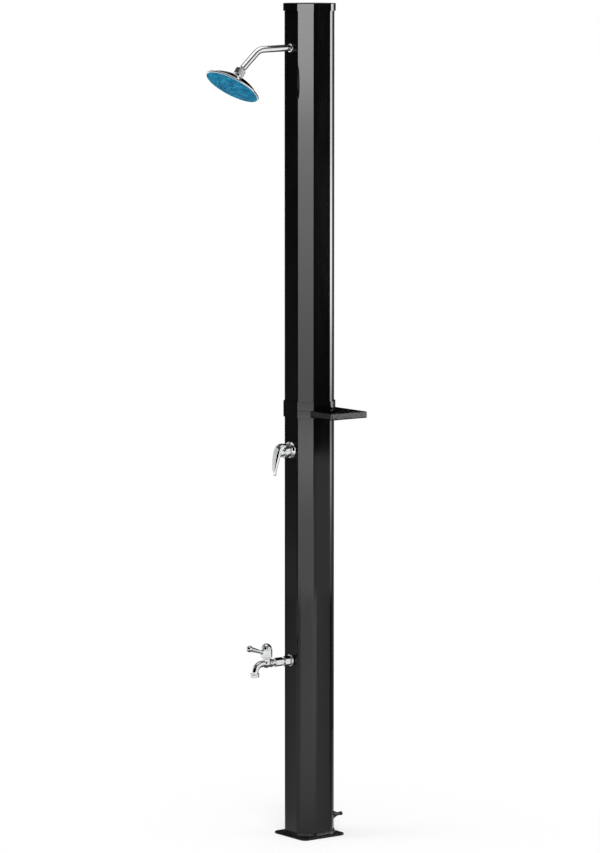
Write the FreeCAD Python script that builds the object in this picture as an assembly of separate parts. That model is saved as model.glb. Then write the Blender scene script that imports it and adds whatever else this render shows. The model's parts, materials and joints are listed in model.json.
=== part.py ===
import FreeCAD, Part
import math
import os
from FreeCAD import Placement, Rotation, Vector

# Outdoor shower post with a rain head, a single-lever mixer, a bib tap and a soap dish.
# Millimetres. +Z is up and the origin is the centre of the base's underside. The fittings
# face -Y, the soap dish lies on +X and the water comes in on +Y.

# ---- Post: a square tube with broad chamfered corners, in two lengths ----
total_height = 2200.0
post_across = 121.0
post_chamfer = 31.0
post_edge_radius = 20.0
post_wall = 3.0
joint_height = 1150.0

# ---- Clearances ----
glue_gap = 0.1        # plugs welded into the tubes
slip_gap = 0.3        # sleeves that slide over the tubes
thread_gap = 0.1      # threaded pairs, drawn plain
hole_gap = 0.25       # fittings through the tube's wall
running_gap = 0.06    # shafts and pins that turn
sweep_gap = 0.4       # moving pieces past fixed ones

# ---- Base ----
base_side = 140.0
base_corner_radius = 16.0
base_thickness = 5.0
base_edge_radius = 1.5
base_hole_radius = 5.0
base_hole_spacing = 114.0
skirt_height = 9.0
skirt_flare = 7.0
skirt_lip = 1.5
base_screw_spacing = 60.0
base_screw_radius = 2.4
base_screw_head_radius = 4.8
base_screw_head_height = 2.4
base_screw_sink = 0.4
base_screw_grip = 9.0
plug_thickness = 12.0

# ---- Top ----
cap_height = 20.0
cap_top = 4.0
cap_proud = 3.5
cap_edge_radius = 1.5
cap_lip_height = 8.0
cap_lip_wall = 2.0
top_plug_depth = 14.0

# ---- Joint between the two lengths ----
collar_proud = 3.5
collar_rise = 11.0
collar_drop = 11.0
collar_edge_radius = 1.0
bulkhead_thickness = 12.0
seal_thickness = 4.0
seal_offset = 2.6
neck_radius = 49.0
neck_wall = 4.0
neck_reach = 26.0
neck_socket_wall = 3.5

# ---- Soap dish ----
dish_ring_height = 20.0
dish_reach = 146.0
dish_front = -39.0
dish_back = 80.0
dish_tail = -20.0
dish_depth = 16.0
dish_rim_drop = 1.0
dish_wall = 2.5
dish_floor = 2.5
dish_corner_radius = 4.0
drain_radius = 1.9
drain_count = 5
drain_spacing = 18.0
set_screw_radius = 2.0
set_screw_spacing = 50.0
set_screw_socket = 1.1
set_screw_socket_depth = 1.5

# ---- Heights of the fittings ----
arm_below_top = 115.5
mixer_below_joint = 116.5
tap_height = 474.0
inlet_height = 42.0

# ---- Pipes inside the post ----
pipe_radius = 7.0
pipe_wall = 1.9
nipple_wall = 1.5
nipple_length = 16.0
pipe_setback = 32.5      # from the face of the post to the line of pipes
hot_pipe_side = 24.0
hot_pipe_drop = 20.0     # from the top plug down to the open end of the hot pipe
riser_straight = 104.0
riser_cross = 170.0
riser_bend = 60.0
clip_count = 4
clip_first = 150.0       # the lowest clip, above the joint
clip_last = 83.0         # the highest clip, below the arm
clip_thickness = 8.0
clip_margin = 3.0
clamp_width = 7.0
clamp_wall = 1.2
clamp_inset = 3.0

# ---- Fittings screwed together through the wall ----
gasket_thickness = 1.5
gasket_margin = 3.0
socket_radius = 14.0
flange_radius = 17.0
flange_thickness = 4.0
socket_end = 38.0        # how far the socket reaches behind the face
tail_depth = 18.0
socket_depth = 20.0
fill_spout_length = 14.0

# ---- Shower arm ----
arm_radius = 8.75
arm_wall = 1.5
arm_straight = 14.0      # from the face, before the arm starts to droop
arm_droop = 2.0          # degrees below horizontal
arm_run = 103.0          # from the face to the corner of the bend
arm_leg = 70.0           # from the corner of the bend to the end
arm_bend = 38.0
arm_slope = 42.0         # degrees below horizontal
arm_flange_radius = 11.5
arm_flange_length = 5.0
arm_flange_bevel = 2.0

# ---- Rain head, measured from the centre of its ball joint ----
head_slope = 57.0
ball_radius = 9.5
ball_gap = 0.15
ball_neck_radius = 4.2
ball_neck_length = 12.5
ball_collar_edge = 0.5
ball_collar_length = 3.5
ball_bore = 2.2
ball_plug_length = 12.0
seat_thickness = 1.4
seat_gap = 0.15
seat_top_angle = 78.0
seat_bottom_angle = 115.0
nut_radius = 13.5
nut_length = 18.0
nut_below = 11.0
nut_thread_radius = 11.4
lip_angle = 51.6
lip_seat_angle = 62.0
lip_flare = 1.6
nut_shoulder = 2.0
nut_knurls = 24
nut_knurl_radius = 0.7
nut_knurl_lead = 1.0
spigot_top = 5.0
spigot_wall = 1.3
head_neck_radius = 10.0
head_neck_end = 16.0
dome_start_radius = 13.0
dome_start = 18.0
dome_swell_radius = 47.0
dome_swell = 27.0
dome_swell_wall = 3.5
dome_swell_lean = 25.0   # degrees between the dome's wall there and the head's plane
head_radius = 75.0
rim_top = 43.0
rim_height = 4.2
shell_wall = 2.2
face_radius = 72.5
face_gap = 0.15
face_crown = 2.6
face_thickness = 1.8
mat_thickness = 2.0
mat_margin = 5.5
head_seal_width = 3.0
head_ledge_width = 1.5
crown_rings = (4, 2, 0)  # the nozzle rings inside which the face's crown steps up
head_channel_radius = 3.5
nozzle_rings = 5
nozzle_ring_step = 12.0
nozzle_ring_count = 6
nozzle_radius = 1.3
nozzle_gap = 0.1
nozzle_proud = 1.2

# ---- Single-lever mixer ----
mixer_shank_radius = 16.0
mixer_flange_radius = 22.5
mixer_flange_length = 6.5
mixer_flange_rim = 2.0
mixer_flange_round = 1.4
mixer_flange_inset = 1.0
mixer_barrel_radius = 18.5
mixer_barrel_end = 12.0
mixer_shoulder_radius = 22.0
mixer_shoulder_depth = 22.0
manifold_depth = 40.0
manifold_half_height = 10.0
manifold_side = 9.0
cartridge_radius = 12.8
cartridge_depth = 18.0
dome_radius = 15.5
dome_opening = 30.0
dome_wall = 2.5
dome_web = 2.0
retainer_length = 4.0
disc_thickness = 3.0
rotor_radius = 9.0
rotor_depth = 6.0
rotor_proud = 3.5
rotor_slot_width = 7.4
rotor_slot_height = 15.0
rotor_floor = 3.0
pin_radius = 1.5
stem_width = 7.0
stem_height = 6.0
stem_tail = 8.0
stem_reach = 27.0
stem_droop = 10.0        # degrees, at rest
hub_radius = 18.8
hub_edge_angle = 79.0
hub_straight = 13.0
hub_crown = 19.0
hub_round_in = 2.2       # the middle of the hub's rounded shoulder, in from its side
hub_round_up = 4.0       # and out from where the side ends
hub_flat_inset = 7.5
boss_radius = 8.0
boss_cover = 4.0
lever_width = 24.0
lever_tip_width = 15.0
lever_top = 22.0         # heights on the lever, from the mixer's axis
lever_taper_start = -12.0
lever_taper_end = -52.0
lever_tip_shoulder = -63.5
lever_tip_side = 5.4
lever_end = -66.5
lever_side = [           # side outline: distance from the post's face, height from the mixer's axis
    (16.0, 12.0), (16.0, 19.0), (36.5, 20.0, 48.0, 4.0), (55.5, -21.0, 58.0, -46.0),
    (58.2, -59.0, 54.5, -66.0), (51.5, -62.0), (49.0, -43.0, 44.5, -28.0), (38.0, -8.0), (30.0, 0.0)]
grub_radius = 2.0
grub_length = 4.0
grub_place = 5.0
grub_hole_length = 16.0
index_radius = 3.5
index_depth = 1.5
index_proud = 0.3
index_distance = 44.2
index_rise = 12.0
index_tilt = 43.8        # degrees above horizontal

# ---- Bib tap ----
tap_tail_radius = 10.0
backnut_flange_radius = 15.5
backnut_flange_length = 3.5
backnut_across = 24.0
backnut_length = 25.0
backnut_corner = 1.8     # how much of the hexagon's corners shows past its flats
backnut_bevel = 2.5
barrel_radius = 9.5
barrel_bevel = 1.0
barrel_hex_across = 21.0
barrel_hex_start = 31.0
barrel_hex_end = 56.0
barrel_waist_radius = 8.3
barrel_waist_taper = 4.0
barrel_ring_start = 65.0
barrel_ring_radius = 11.6
barrel_ring_length = 3.5
barrel_ring_taper = 2.0
barrel_ring_bevel = 1.0
valve_neck_radius = 10.1
valve_centre = 81.0
valve_radius = 12.2
spout_radius = 8.75
spout_wall = 2.3
spout_run = 16.0
spout_bend = 22.0
spout_drop = 31.0
nozzle_cap_radius = 11.5
nozzle_cap_length = 11.0
nozzle_cap_wall = 2.2
nozzle_cap_bevel = 0.8
ball_valve_radius = 8.0
ball_valve_bore = 4.6
ball_valve_gap = 0.3
ball_seat_length = 3.5
ball_seat_radius = 7.6
boss_height = 13.0
valve_boss_radius = 10.5
packing_radius = 7.0
packing_depth = 5.0
bonnet_across = 21.0
bonnet_height = 3.0
spindle_radius = 4.0
spindle_top = 41.0
tang_width = 3.0
tang_height = 2.5
handle_radius = 15.5
handle_bottom = 17.0
handle_top = 37.0
handle_skirt_wall = 3.0
handle_skirt_height = 6.0
knob_height = 16.0
knob_flutes = 12
knob_flute_radius = 1.6
knob_flute_out = 0.6     # the flutes' centres, outside the knob's side
knob_inset = 0.8
handle_screw_radius = 2.0
handle_screw_head = 4.0
handle_screw_length = 12.0
screw_end_room = 1.0
lever_rise = 18.0        # degrees above horizontal
lever_root_height = 26.0
lever_root_radius = 5.0
lever_flare_start = 29.0
lever_flare_middle = 52.0
lever_flare_radius = 7.6
lever_bulb_radius = 8.8
lever_bulb_centre = 58.0

# ---- Hose inlet ----
inlet_tail_radius = 10.0
inlet_flange_radius = 16.0
inlet_flange_length = 3.0
inlet_hex_across = 25.0
inlet_hex_length = 11.0
inlet_cone_radius = 10.5
inlet_cone_start = 4.0   # past the hexagon
inlet_cone_end = 34.0
inlet_nose_radius = 4.5
inlet_nose_end = 48.0
inlet_tip_radius = 5.2
inlet_tip_length = 5.0
inlet_tip_bevel = 0.8
inlet_bore = 3.0

# ---- Worked out from the values above ----
half = post_across / 2
arm_height = total_height - arm_below_top
mixer_height = joint_height - mixer_below_joint
pipe_bore = pipe_radius - pipe_wall
nipple_radius = pipe_bore - thread_gap
nipple_bore = nipple_radius - nipple_wall
FRONT = Vector(0, -1, 0)
REAR = Vector(0, 1, 0)
UP = Vector(0, 0, 1)
DOWN = Vector(0, 0, -1)
LEFT = Vector(-1, 0, 0)
RIGHT = Vector(1, 0, 0)
DIAGONAL = 2 - math.sqrt(2)
collar_bottom = joint_height - collar_drop
cap_bottom = total_height - cap_height
tube_top = total_height - cap_top

os.makedirs("parts", exist_ok=True)


def save(name, shape):
    """Write one piece, or one group of equal pieces, to its own file."""
    solids = shape.Solids
    if len(solids) > 1:
        Part.makeCompound(solids).exportStep(f"parts/{name}.step")
    else:
        solids[0].exportStep(f"parts/{name}.step")
    print(f"{name}: {len(solids)} solid(s), {shape.Volume:.0f} mm3, valid {shape.isValid()}")


def rounded(points, radius, closed=False):
    """A wire along points, with every corner rounded to radius."""
    count = len(points)
    corners = range(count) if closed else range(1, count - 1)
    arcs = []
    for i in corners:
        corner = points[i]
        back = (points[i - 1] - corner).normalize()
        ahead = (points[(i + 1) % count] - corner).normalize()
        half_turn = (math.pi - back.getAngle(ahead)) / 2
        reach = radius * math.tan(half_turn)
        middle = corner + (back + ahead).normalize() * (radius / math.cos(half_turn) - radius)
        arcs.append((corner + back * reach, middle, corner + ahead * reach))
    edges = []
    here = arcs[-1][2] if closed else points[0]
    for start, middle, end in arcs:
        edges.append(Part.LineSegment(here, start).toShape())
        edges.append(Part.Arc(start, middle, end).toShape())
        here = end
    if not closed:
        edges.append(Part.LineSegment(here, points[-1]).toShape())
    return Part.Wire(edges)


def outline(steps, place):
    """A closed wire. A step of two numbers is a line's end, one of four an arc's middle and end."""
    start = here = place(*steps[0])
    edges = []
    for step in steps[1:]:
        end = place(*step[-2:])
        if len(step) == 4:
            edges.append(Part.Arc(here, place(*step[:2]), end).toShape())
        else:
            edges.append(Part.LineSegment(here, end).toShape())
        here = end
    if here.distanceToPoint(start) > 1e-6:
        edges.append(Part.LineSegment(here, start).toShape())
    return Part.Wire(edges)


def placed(shape, at, axis):
    """Stand a shape made along +Z on the point at, along axis."""
    shape.Placement = Placement(at, Rotation(UP, axis))
    return shape


def turned(steps, at, axis):
    """A turned piece from its half outline of (radius, distance along axis)."""
    face = Part.Face(outline(steps, lambda radius, distance: Vector(radius, 0, distance)))
    return placed(face.revolve(Vector(), UP, 360), at, axis)


def rod(radius, start, end, at, axis):
    return Part.makeCylinder(radius, end - start, at + axis * start, axis)


def ring(outer, inner, start, end, at, axis):
    return rod(outer, start, end, at, axis).cut(rod(inner, start, end, at, axis))


def ball(radius, at):
    return Part.makeSphere(radius, at)


def hexagon(across, start, end, at, axis):
    reach = across / math.sqrt(3)
    turns = [math.radians(60 * k) for k in range(7)]
    corners = [Vector(reach * math.cos(turn), reach * math.sin(turn), start) for turn in turns]
    return placed(Part.Face(Part.makePolygon(corners)).extrude(UP * (end - start)), at, axis)


def block(low, high):
    return Part.makeBox(high[0] - low[0], high[1] - low[1], high[2] - low[2], Vector(*low))


def rod_along(points, bend, radius):
    """A round bar that follows points with rounded corners."""
    start_direction = (points[1] - points[0]).normalize()
    profile = Part.Wire(Part.makeCircle(radius, points[0], start_direction))
    return rounded(points, bend).makePipeShell([profile], True, False)


def tube_along(points, bend, outer, inner):
    return rod_along(points, bend, outer).cut(rod_along(points, bend, inner))


def post_corners(offset, z):
    """The eight corners of the post's outline, moved out by offset."""
    reach = half + offset
    flat = reach - post_chamfer - offset * DIAGONAL
    return [Vector(x, y, z) for x, y in (
        (reach, -flat), (reach, flat), (flat, reach), (-flat, reach),
        (-reach, flat), (-reach, -flat), (-flat, -reach), (flat, -reach))]


def post_outline(offset, z):
    return rounded(post_corners(offset, z), post_edge_radius + offset, closed=True)


def post_prism(offset, bottom, top):
    return Part.Face(post_outline(offset, bottom)).extrude(UP * (top - bottom))


def post_sleeve(outer, inner, bottom, top):
    return post_prism(outer, bottom, top).cut(post_prism(inner, bottom, top))


def off_face(side, height):
    """The point on the post's front or rear face at a height."""
    return side * half + UP * height


def square_places(spacing, z):
    reach = spacing / 2
    return [Vector(x, y, z) for x in (-reach, reach) for y in (-reach, reach)]


def rectangle(low, high, z):
    """Corners of a rectangle from low to high, each (x, y), at a height."""
    left, front = low
    right, back = high
    return [Vector(right, front, z), Vector(right, back, z), Vector(left, back, z), Vector(left, front, z)]


def top_edges(shape, z):
    return [edge for edge in shape.Edges if all(abs(v.Point.z - z) < 1e-6 for v in edge.Vertexes)]


# ---- Base ----
base_top = base_thickness
screw_tip = base_top + base_screw_grip


def base_plate():
    reach = base_side / 2
    corners = rectangle((-reach, -reach), (reach, reach), 0)
    plate = Part.Face(rounded(corners, base_corner_radius, closed=True)).extrude(UP * base_thickness)
    plate = plate.makeFillet(base_edge_radius, top_edges(plate, base_thickness))
    skirt = Part.makeLoft([post_outline(skirt_flare, base_top),
                           post_outline(skirt_lip, base_top + skirt_height)], True, True)
    skirt = skirt.cut(post_prism(slip_gap, base_top, base_top + skirt_height))
    plate = plate.fuse(skirt).removeSplitter()
    for spot in square_places(base_hole_spacing, 0):
        plate = plate.cut(rod(base_hole_radius, 0, base_thickness, spot, UP))
    wide = base_screw_head_radius + hole_gap
    narrow = base_screw_radius + hole_gap
    head_end = base_screw_sink + base_screw_head_height
    for spot in square_places(base_screw_spacing, 0):
        sink = [(0, 0), (wide, 0), (wide, base_screw_sink), (narrow, head_end), (narrow, base_top),
                (0, base_top)]
        plate = plate.cut(turned(sink, spot, UP))
    return plate


def base_screws():
    head_end = base_screw_sink + base_screw_head_height
    steps = [(0, base_screw_sink), (base_screw_head_radius, base_screw_sink), (base_screw_radius, head_end),
             (base_screw_radius, screw_tip - base_screw_radius), (0, screw_tip)]
    return Part.makeCompound([turned(steps, spot, UP) for spot in square_places(base_screw_spacing, 0)])


def lower_end_plug():
    plug = post_prism(-post_wall - glue_gap, base_top, base_top + plug_thickness)
    for spot in square_places(base_screw_spacing, 0):
        plug = plug.cut(rod(base_screw_radius + thread_gap, base_top, screw_tip + thread_gap, spot, UP))
    return plug


# ---- Post ----
def wall_hole(radius, side, height):
    return rod(radius + hole_gap, -2 * post_wall, post_wall, off_face(side, height), side)


def lower_tube():
    tube = post_sleeve(0, -post_wall, base_top, joint_height)
    tube = tube.cut(wall_hole(inlet_tail_radius, REAR, inlet_height))
    tube = tube.cut(wall_hole(tap_tail_radius, FRONT, tap_height))
    return tube.cut(wall_hole(mixer_shank_radius, FRONT, mixer_height))


def upper_tube():
    return post_sleeve(0, -post_wall, joint_height, tube_top).cut(wall_hole(arm_radius, FRONT, arm_height))


top_plug_top = tube_top - top_plug_depth
top_plug_bottom = top_plug_top - plug_thickness


def upper_end_plug():
    return post_prism(-post_wall - glue_gap, top_plug_bottom, top_plug_top)


def top_cap():
    cap = post_prism(cap_proud, cap_bottom, total_height)
    cap = cap.makeFillet(cap_edge_radius, top_edges(cap, total_height))
    cap = cap.cut(post_prism(slip_gap, cap_bottom, tube_top))
    lip_outside = -post_wall - slip_gap
    return cap.fuse(post_sleeve(lip_outside, lip_outside - cap_lip_wall, tube_top - cap_lip_height, tube_top))


def lower_bulkhead():
    top = joint_height - seal_thickness / 2
    bottom = top - bulkhead_thickness
    neck_end = joint_height + seal_thickness / 2 - neck_reach
    bore = neck_radius + thread_gap
    plate = post_prism(-post_wall - glue_gap, bottom, top)
    socket = rod(bore + neck_socket_wall, neck_end, bottom, Vector(), UP)
    return plate.fuse(socket).cut(rod(bore, neck_end, top, Vector(), UP))


def upper_bulkhead():
    bottom = joint_height + seal_thickness / 2
    plate = post_prism(-post_wall - glue_gap, bottom, bottom + bulkhead_thickness)
    neck = rod(neck_radius, bottom - neck_reach, bottom, Vector(), UP)
    bore = rod(neck_radius - neck_wall, bottom - neck_reach, bottom + bulkhead_thickness, Vector(), UP)
    return plate.fuse(neck).cut(bore)


def joint_seal():
    section = seal_thickness / 2
    return Part.makeTorus(neck_radius + seal_offset, section, Vector(0, 0, joint_height), UP)


def clamp_screw_spots(height):
    reach = set_screw_spacing / 2
    return [Vector(-half, y, height) for y in (-reach, reach)]


ring_bottom = collar_bottom - dish_ring_height
ring_screws = clamp_screw_spots(collar_bottom - dish_ring_height / 2)
collar_screws = clamp_screw_spots(joint_height + collar_rise / 2)


def joint_collar():
    collar = post_prism(collar_proud, collar_bottom, joint_height + collar_rise)
    collar = collar.makeFillet(collar_edge_radius, top_edges(collar, joint_height + collar_rise))
    collar = collar.cut(post_prism(slip_gap, collar_bottom, joint_height + collar_rise))
    for spot in collar_screws:
        collar = collar.cut(rod(set_screw_radius + thread_gap, 0, 2 * collar_proud, spot, LEFT))
    return collar


def soap_dish():
    rim = collar_bottom - dish_rim_drop
    floor_bottom = rim - dish_depth

    def tray(inset, bottom):
        low = (dish_tail + inset, dish_front + inset)
        high = (dish_reach - inset, dish_back - inset)
        corners = rectangle(low, high, bottom)
        base = Part.Face(rounded(corners, dish_corner_radius - inset / 2, closed=True))
        return base.extrude(UP * (rim - bottom))

    band = post_prism(collar_proud, ring_bottom, collar_bottom)
    hollow = tray(dish_wall, floor_bottom + dish_floor).cut(band)
    dish = tray(0, floor_bottom).cut(hollow).fuse(band)
    dish = dish.cut(post_prism(slip_gap, ring_bottom, collar_bottom))
    drain_x = (half + dish_reach) / 2
    drain_y = (dish_front + dish_back) / 2 - drain_spacing * (drain_count - 1) / 2
    for k in range(drain_count):
        spot = Vector(drain_x, drain_y + k * drain_spacing, 0)
        dish = dish.cut(rod(drain_radius, floor_bottom, floor_bottom + dish_floor, spot, UP))
    for spot in ring_screws:
        dish = dish.cut(rod(set_screw_radius + thread_gap, 0, 2 * collar_proud, spot, LEFT))
    return dish


def clamp_screws():
    screws = []
    socket_floor = collar_proud - set_screw_socket_depth
    for spot in ring_screws + collar_screws:
        screw = rod(set_screw_radius, glue_gap, collar_proud, spot, LEFT)
        socket = hexagon(2 * set_screw_socket, socket_floor, collar_proud, spot, LEFT)
        screws.append(screw.cut(socket))
    return Part.makeCompound(screws)


# ---- Fittings inside the wall ----
inner_face = -post_wall - gasket_thickness


def wall_fitting(side, height, tail_radius, below, above, spout=0.0):
    """Elbow or tee behind the wall: a socket for the outer fitting's tail, and one or two pipe nipples."""
    at = off_face(side, height)
    bore = tail_radius + thread_gap
    body = rod(socket_radius, -socket_end, inner_face, at, side)
    body = body.fuse(rod(flange_radius, inner_face - flange_thickness, inner_face, at, side))
    centre = off_face(side, height) - side * pipe_setback
    reach = socket_radius + nipple_length
    bottom = -reach if below else 0
    top = reach if above else 0
    body = body.fuse(rod(nipple_radius, bottom, top, centre, UP))
    if spout:
        body = body.fuse(rod(nipple_radius, -socket_end - spout, -socket_end, at, side))
        body = body.cut(rod(nipple_bore, -socket_end - spout, -pipe_setback, at, side))
    body = body.cut(rod(bore, -socket_depth, inner_face, at, side))
    body = body.cut(rod(nipple_bore, -pipe_setback, -socket_depth, at, side))
    return body.cut(rod(nipple_bore, bottom, top, centre, UP))


def gaskets(side, height, tail_radius, outer_radius, inner_radius):
    """One washer on each side of the post's wall."""
    at = off_face(side, height)
    bore = tail_radius + hole_gap
    outer = ring(outer_radius - gasket_margin, bore, 0, gasket_thickness, at, side)
    inner = ring(inner_radius - gasket_margin, bore, inner_face, -post_wall, at, side)
    return Part.makeCompound([outer, inner])


front_line = off_face(FRONT, 0) - FRONT * pipe_setback
rear_line = off_face(REAR, 0) - REAR * pipe_setback
hot_line = front_line - Vector(hot_pipe_side, 0, 0)
manifold_top = mixer_height + manifold_half_height
manifold_bottom = mixer_height - manifold_half_height
riser_start = inlet_height + socket_radius + thread_gap
riser_end = tap_height - socket_radius - thread_gap
cold_start = tap_height + socket_radius + thread_gap
cold_end = manifold_bottom - thread_gap
shower_start = manifold_top + thread_gap
shower_end = arm_height - socket_radius - thread_gap
hot_end = top_plug_bottom - hot_pipe_drop


def straight_pipe(line, bottom, top):
    return ring(pipe_radius, pipe_bore, bottom, top, line, UP)


def cold_riser():
    lift = riser_start + riser_straight
    points = [rear_line + UP * riser_start, rear_line + UP * lift,
              front_line + UP * (lift + riser_cross), front_line + UP * riser_end]
    return tube_along(points, riser_bend, pipe_radius, pipe_bore)


def pipe_clips():
    clips = []
    reach = pipe_radius + clip_margin
    lowest = joint_height + clip_first
    step = (arm_height - clip_last - lowest) / (clip_count - 1)
    for k in range(clip_count):
        z = lowest + k * step
        clip = block((hot_line.x - reach, front_line.y - reach, z),
                     (reach, front_line.y + reach, z + clip_thickness))
        for line in (front_line, hot_line):
            clip = clip.cut(rod(pipe_radius + thread_gap, z, z + clip_thickness, line, UP))
        clips.append(clip)
    return Part.makeCompound(clips)


def hose_clamps():
    starts = [(rear_line, riser_start), (front_line, cold_start)]
    starts += [(line, shower_start) for line in (front_line, hot_line)]
    ends = [(front_line, riser_end), (front_line, cold_end), (front_line, shower_end)]
    lows = [(line, z + clamp_inset) for line, z in starts]
    lows += [(line, z - clamp_inset - clamp_width) for line, z in ends]
    inner = pipe_radius + glue_gap / 2
    outer = inner + clamp_wall
    return Part.makeCompound([ring(outer, inner, z, z + clamp_width, line, UP) for line, z in lows])


# ---- Shower arm and head ----
arm_kink = off_face(FRONT, arm_height) + FRONT * arm_straight
arm_drop = (arm_run - arm_straight) * math.tan(math.radians(arm_droop))
arm_corner = off_face(FRONT, arm_height) + FRONT * arm_run + DOWN * arm_drop
leg_direction = Vector(0, -math.cos(math.radians(arm_slope)), -math.sin(math.radians(arm_slope)))
head_direction = Vector(0, -math.cos(math.radians(head_slope)), -math.sin(math.radians(head_slope)))
arm_end = arm_corner + leg_direction * arm_leg
ball_centre = arm_end + leg_direction * ball_neck_length
arm_bore = arm_radius - arm_wall


def arm_tube():
    start = off_face(FRONT, arm_height) - FRONT * tail_depth
    return tube_along([start, arm_kink, arm_corner, arm_end], arm_bend, arm_radius, arm_bore)


def arm_flange():
    start = gasket_thickness
    end = start + arm_flange_length
    bore = arm_radius + thread_gap
    steps = [(bore, start), (arm_flange_radius, start), (arm_flange_radius, end - arm_flange_bevel),
             (arm_flange_radius - arm_flange_bevel, end), (bore, end)]
    return turned(steps, off_face(FRONT, arm_height), FRONT)


def swivel_ball():
    plug = arm_bore - thread_gap
    body = rod(plug, -ball_plug_length, 0, arm_end, leg_direction)
    steps = [(0, 0), (arm_radius, 0), (arm_radius, ball_collar_edge), (ball_neck_radius, ball_collar_length),
             (0, ball_collar_length)]
    body = body.fuse(turned(steps, arm_end, leg_direction))
    body = body.fuse(rod(ball_neck_radius, 0, ball_neck_length, arm_end, leg_direction))
    body = body.fuse(ball(ball_radius, ball_centre))
    bore = rod(ball_bore, -ball_plug_length, ball_neck_length + 2 * ball_radius, arm_end, leg_direction)
    return body.cut(bore)


seat_inner = ball_radius + running_gap
seat_outer = seat_inner + seat_thickness
socket_sphere = seat_outer + seat_gap


def on_sphere(radius, angle):
    """A point of a sphere about the ball's centre, at an angle from the side of the arm."""
    return radius * math.sin(math.radians(angle)), -radius * math.cos(math.radians(angle))


def zone(radius, start, end):
    """An arc step on a sphere, from the outline's last point at start to end."""
    return on_sphere(radius, (start + end) / 2) + on_sphere(radius, end)


def swivel_seat():
    top, bottom = seat_top_angle, seat_bottom_angle
    return turned([on_sphere(seat_inner, top), zone(seat_inner, top, bottom), on_sphere(seat_outer, bottom),
                   zone(seat_outer, bottom, top)], ball_centre, head_direction)


def swivel_nut():
    lip_sphere = ball_radius + ball_gap
    lip_radius, lip_low = on_sphere(lip_sphere, lip_angle)
    top = nut_below - nut_length
    nut = turned([(lip_radius, lip_low), (lip_radius + lip_flare, top), (nut_radius - nut_shoulder, top),
                  (nut_radius, top + nut_shoulder), (nut_radius, nut_below), (nut_thread_radius, nut_below),
                  (nut_thread_radius, 0), (socket_sphere, 0), zone(socket_sphere, 90, lip_seat_angle),
                  on_sphere(lip_sphere, lip_seat_angle), zone(lip_sphere, lip_seat_angle, lip_angle)],
                 ball_centre, head_direction)
    knurl_top = top + nut_shoulder + nut_knurl_lead
    for k in range(nut_knurls):
        spoke = Rotation(head_direction, 360.0 * k / nut_knurls).multVec(RIGHT)
        start = ball_centre + spoke * nut_radius
        nut = nut.cut(rod(nut_knurl_radius, knurl_top, nut_below, start, head_direction))
    return nut


face_level = rim_top + rim_height                     # the face's edge, flush with the rim
face_back = face_level - face_thickness
mat_back = face_back - mat_thickness
mat_radius = face_radius - mat_margin


def nozzle_places():
    places = [(0.0, 0.0)]
    for k in range(1, nozzle_rings + 1):
        count = nozzle_ring_count * k
        places += [(k * nozzle_ring_step, 360.0 * (n + (k % 2) / 2) / count) for n in range(count)]
    return places


def nozzle_spot(radius, angle):
    spoke = Rotation(head_direction, angle).multVec(RIGHT)
    return ball_centre + spoke * radius


def head_shell():
    """The chrome dome: a neck screwed into the nut, the dome and the rim round the face."""
    spigot = nut_thread_radius - thread_gap
    ledge = face_radius - head_seal_width - head_ledge_width
    edge = face_radius + face_gap
    neck_top = nut_below + thread_gap
    lean = math.radians(dome_swell_lean)
    swell_inside = (dome_swell_radius - dome_swell_wall * math.sin(lean),
                    dome_swell + dome_swell_wall * math.cos(lean))
    steps = [(head_channel_radius, ball_radius), (head_channel_radius, dome_start + shell_wall),
             (dome_start_radius, dome_start + shell_wall), swell_inside + (ledge, mat_back - shell_wall),
             (ledge, mat_back), (edge, mat_back), (edge, face_level), (head_radius, face_level),
             (head_radius, rim_top), (dome_swell_radius, dome_swell, dome_start_radius, dome_start),
             (head_neck_radius, head_neck_end), (head_neck_radius, neck_top), (spigot, neck_top),
             (spigot, spigot_top), (spigot - spigot_wall, spigot_top)]
    return turned(steps, ball_centre, head_direction).cut(ball(socket_sphere, ball_centre))


def crown_at(radius):
    return face_crown * (1 - (radius / face_radius) ** 2)


def head_face():
    """Clear blue plate, crowned outwards, with a hole for each nozzle."""
    steps = [(k + 0.5) * nozzle_ring_step for k in crown_rings]
    crown = [(radius, face_level + crown_at(radius)) for radius in steps]
    edge = [(0, face_back), (face_radius, face_back), (face_radius, face_level)]
    face = turned(edge + crown + [(0, crown[-1][1])], ball_centre, head_direction)
    bore = nozzle_radius + nozzle_gap
    front = face_level + face_crown + nozzle_proud
    spots = [nozzle_spot(radius, angle) for radius, angle in nozzle_places()]
    return face.cut([rod(bore, face_back, front, spot, head_direction) for spot in spots])


def nozzle_mat():
    """Rubber mat behind the face, with its nozzles through the holes."""
    mat = rod(mat_radius, mat_back, face_back, ball_centre, head_direction)
    nozzles = []
    for radius, angle in nozzle_places():
        tip = face_level + crown_at(radius) + nozzle_proud
        nozzles.append(rod(nozzle_radius, face_back, tip, nozzle_spot(radius, angle), head_direction))
    return mat.fuse(nozzles)


def head_seal():
    outer = face_radius
    return ring(outer, outer - head_seal_width, mat_back, face_back, ball_centre, head_direction)


# ---- Mixer ----
mixer_at = off_face(FRONT, mixer_height)
pivot = mixer_at + FRONT * mixer_barrel_end
stem_direction = Vector(0, -math.cos(math.radians(stem_droop)), -math.sin(math.radians(stem_droop)))
cartridge_bore = cartridge_radius + 2 * thread_gap
hub_sphere = dome_radius + sweep_gap
retainer_start = mixer_barrel_end - retainer_length


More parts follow.
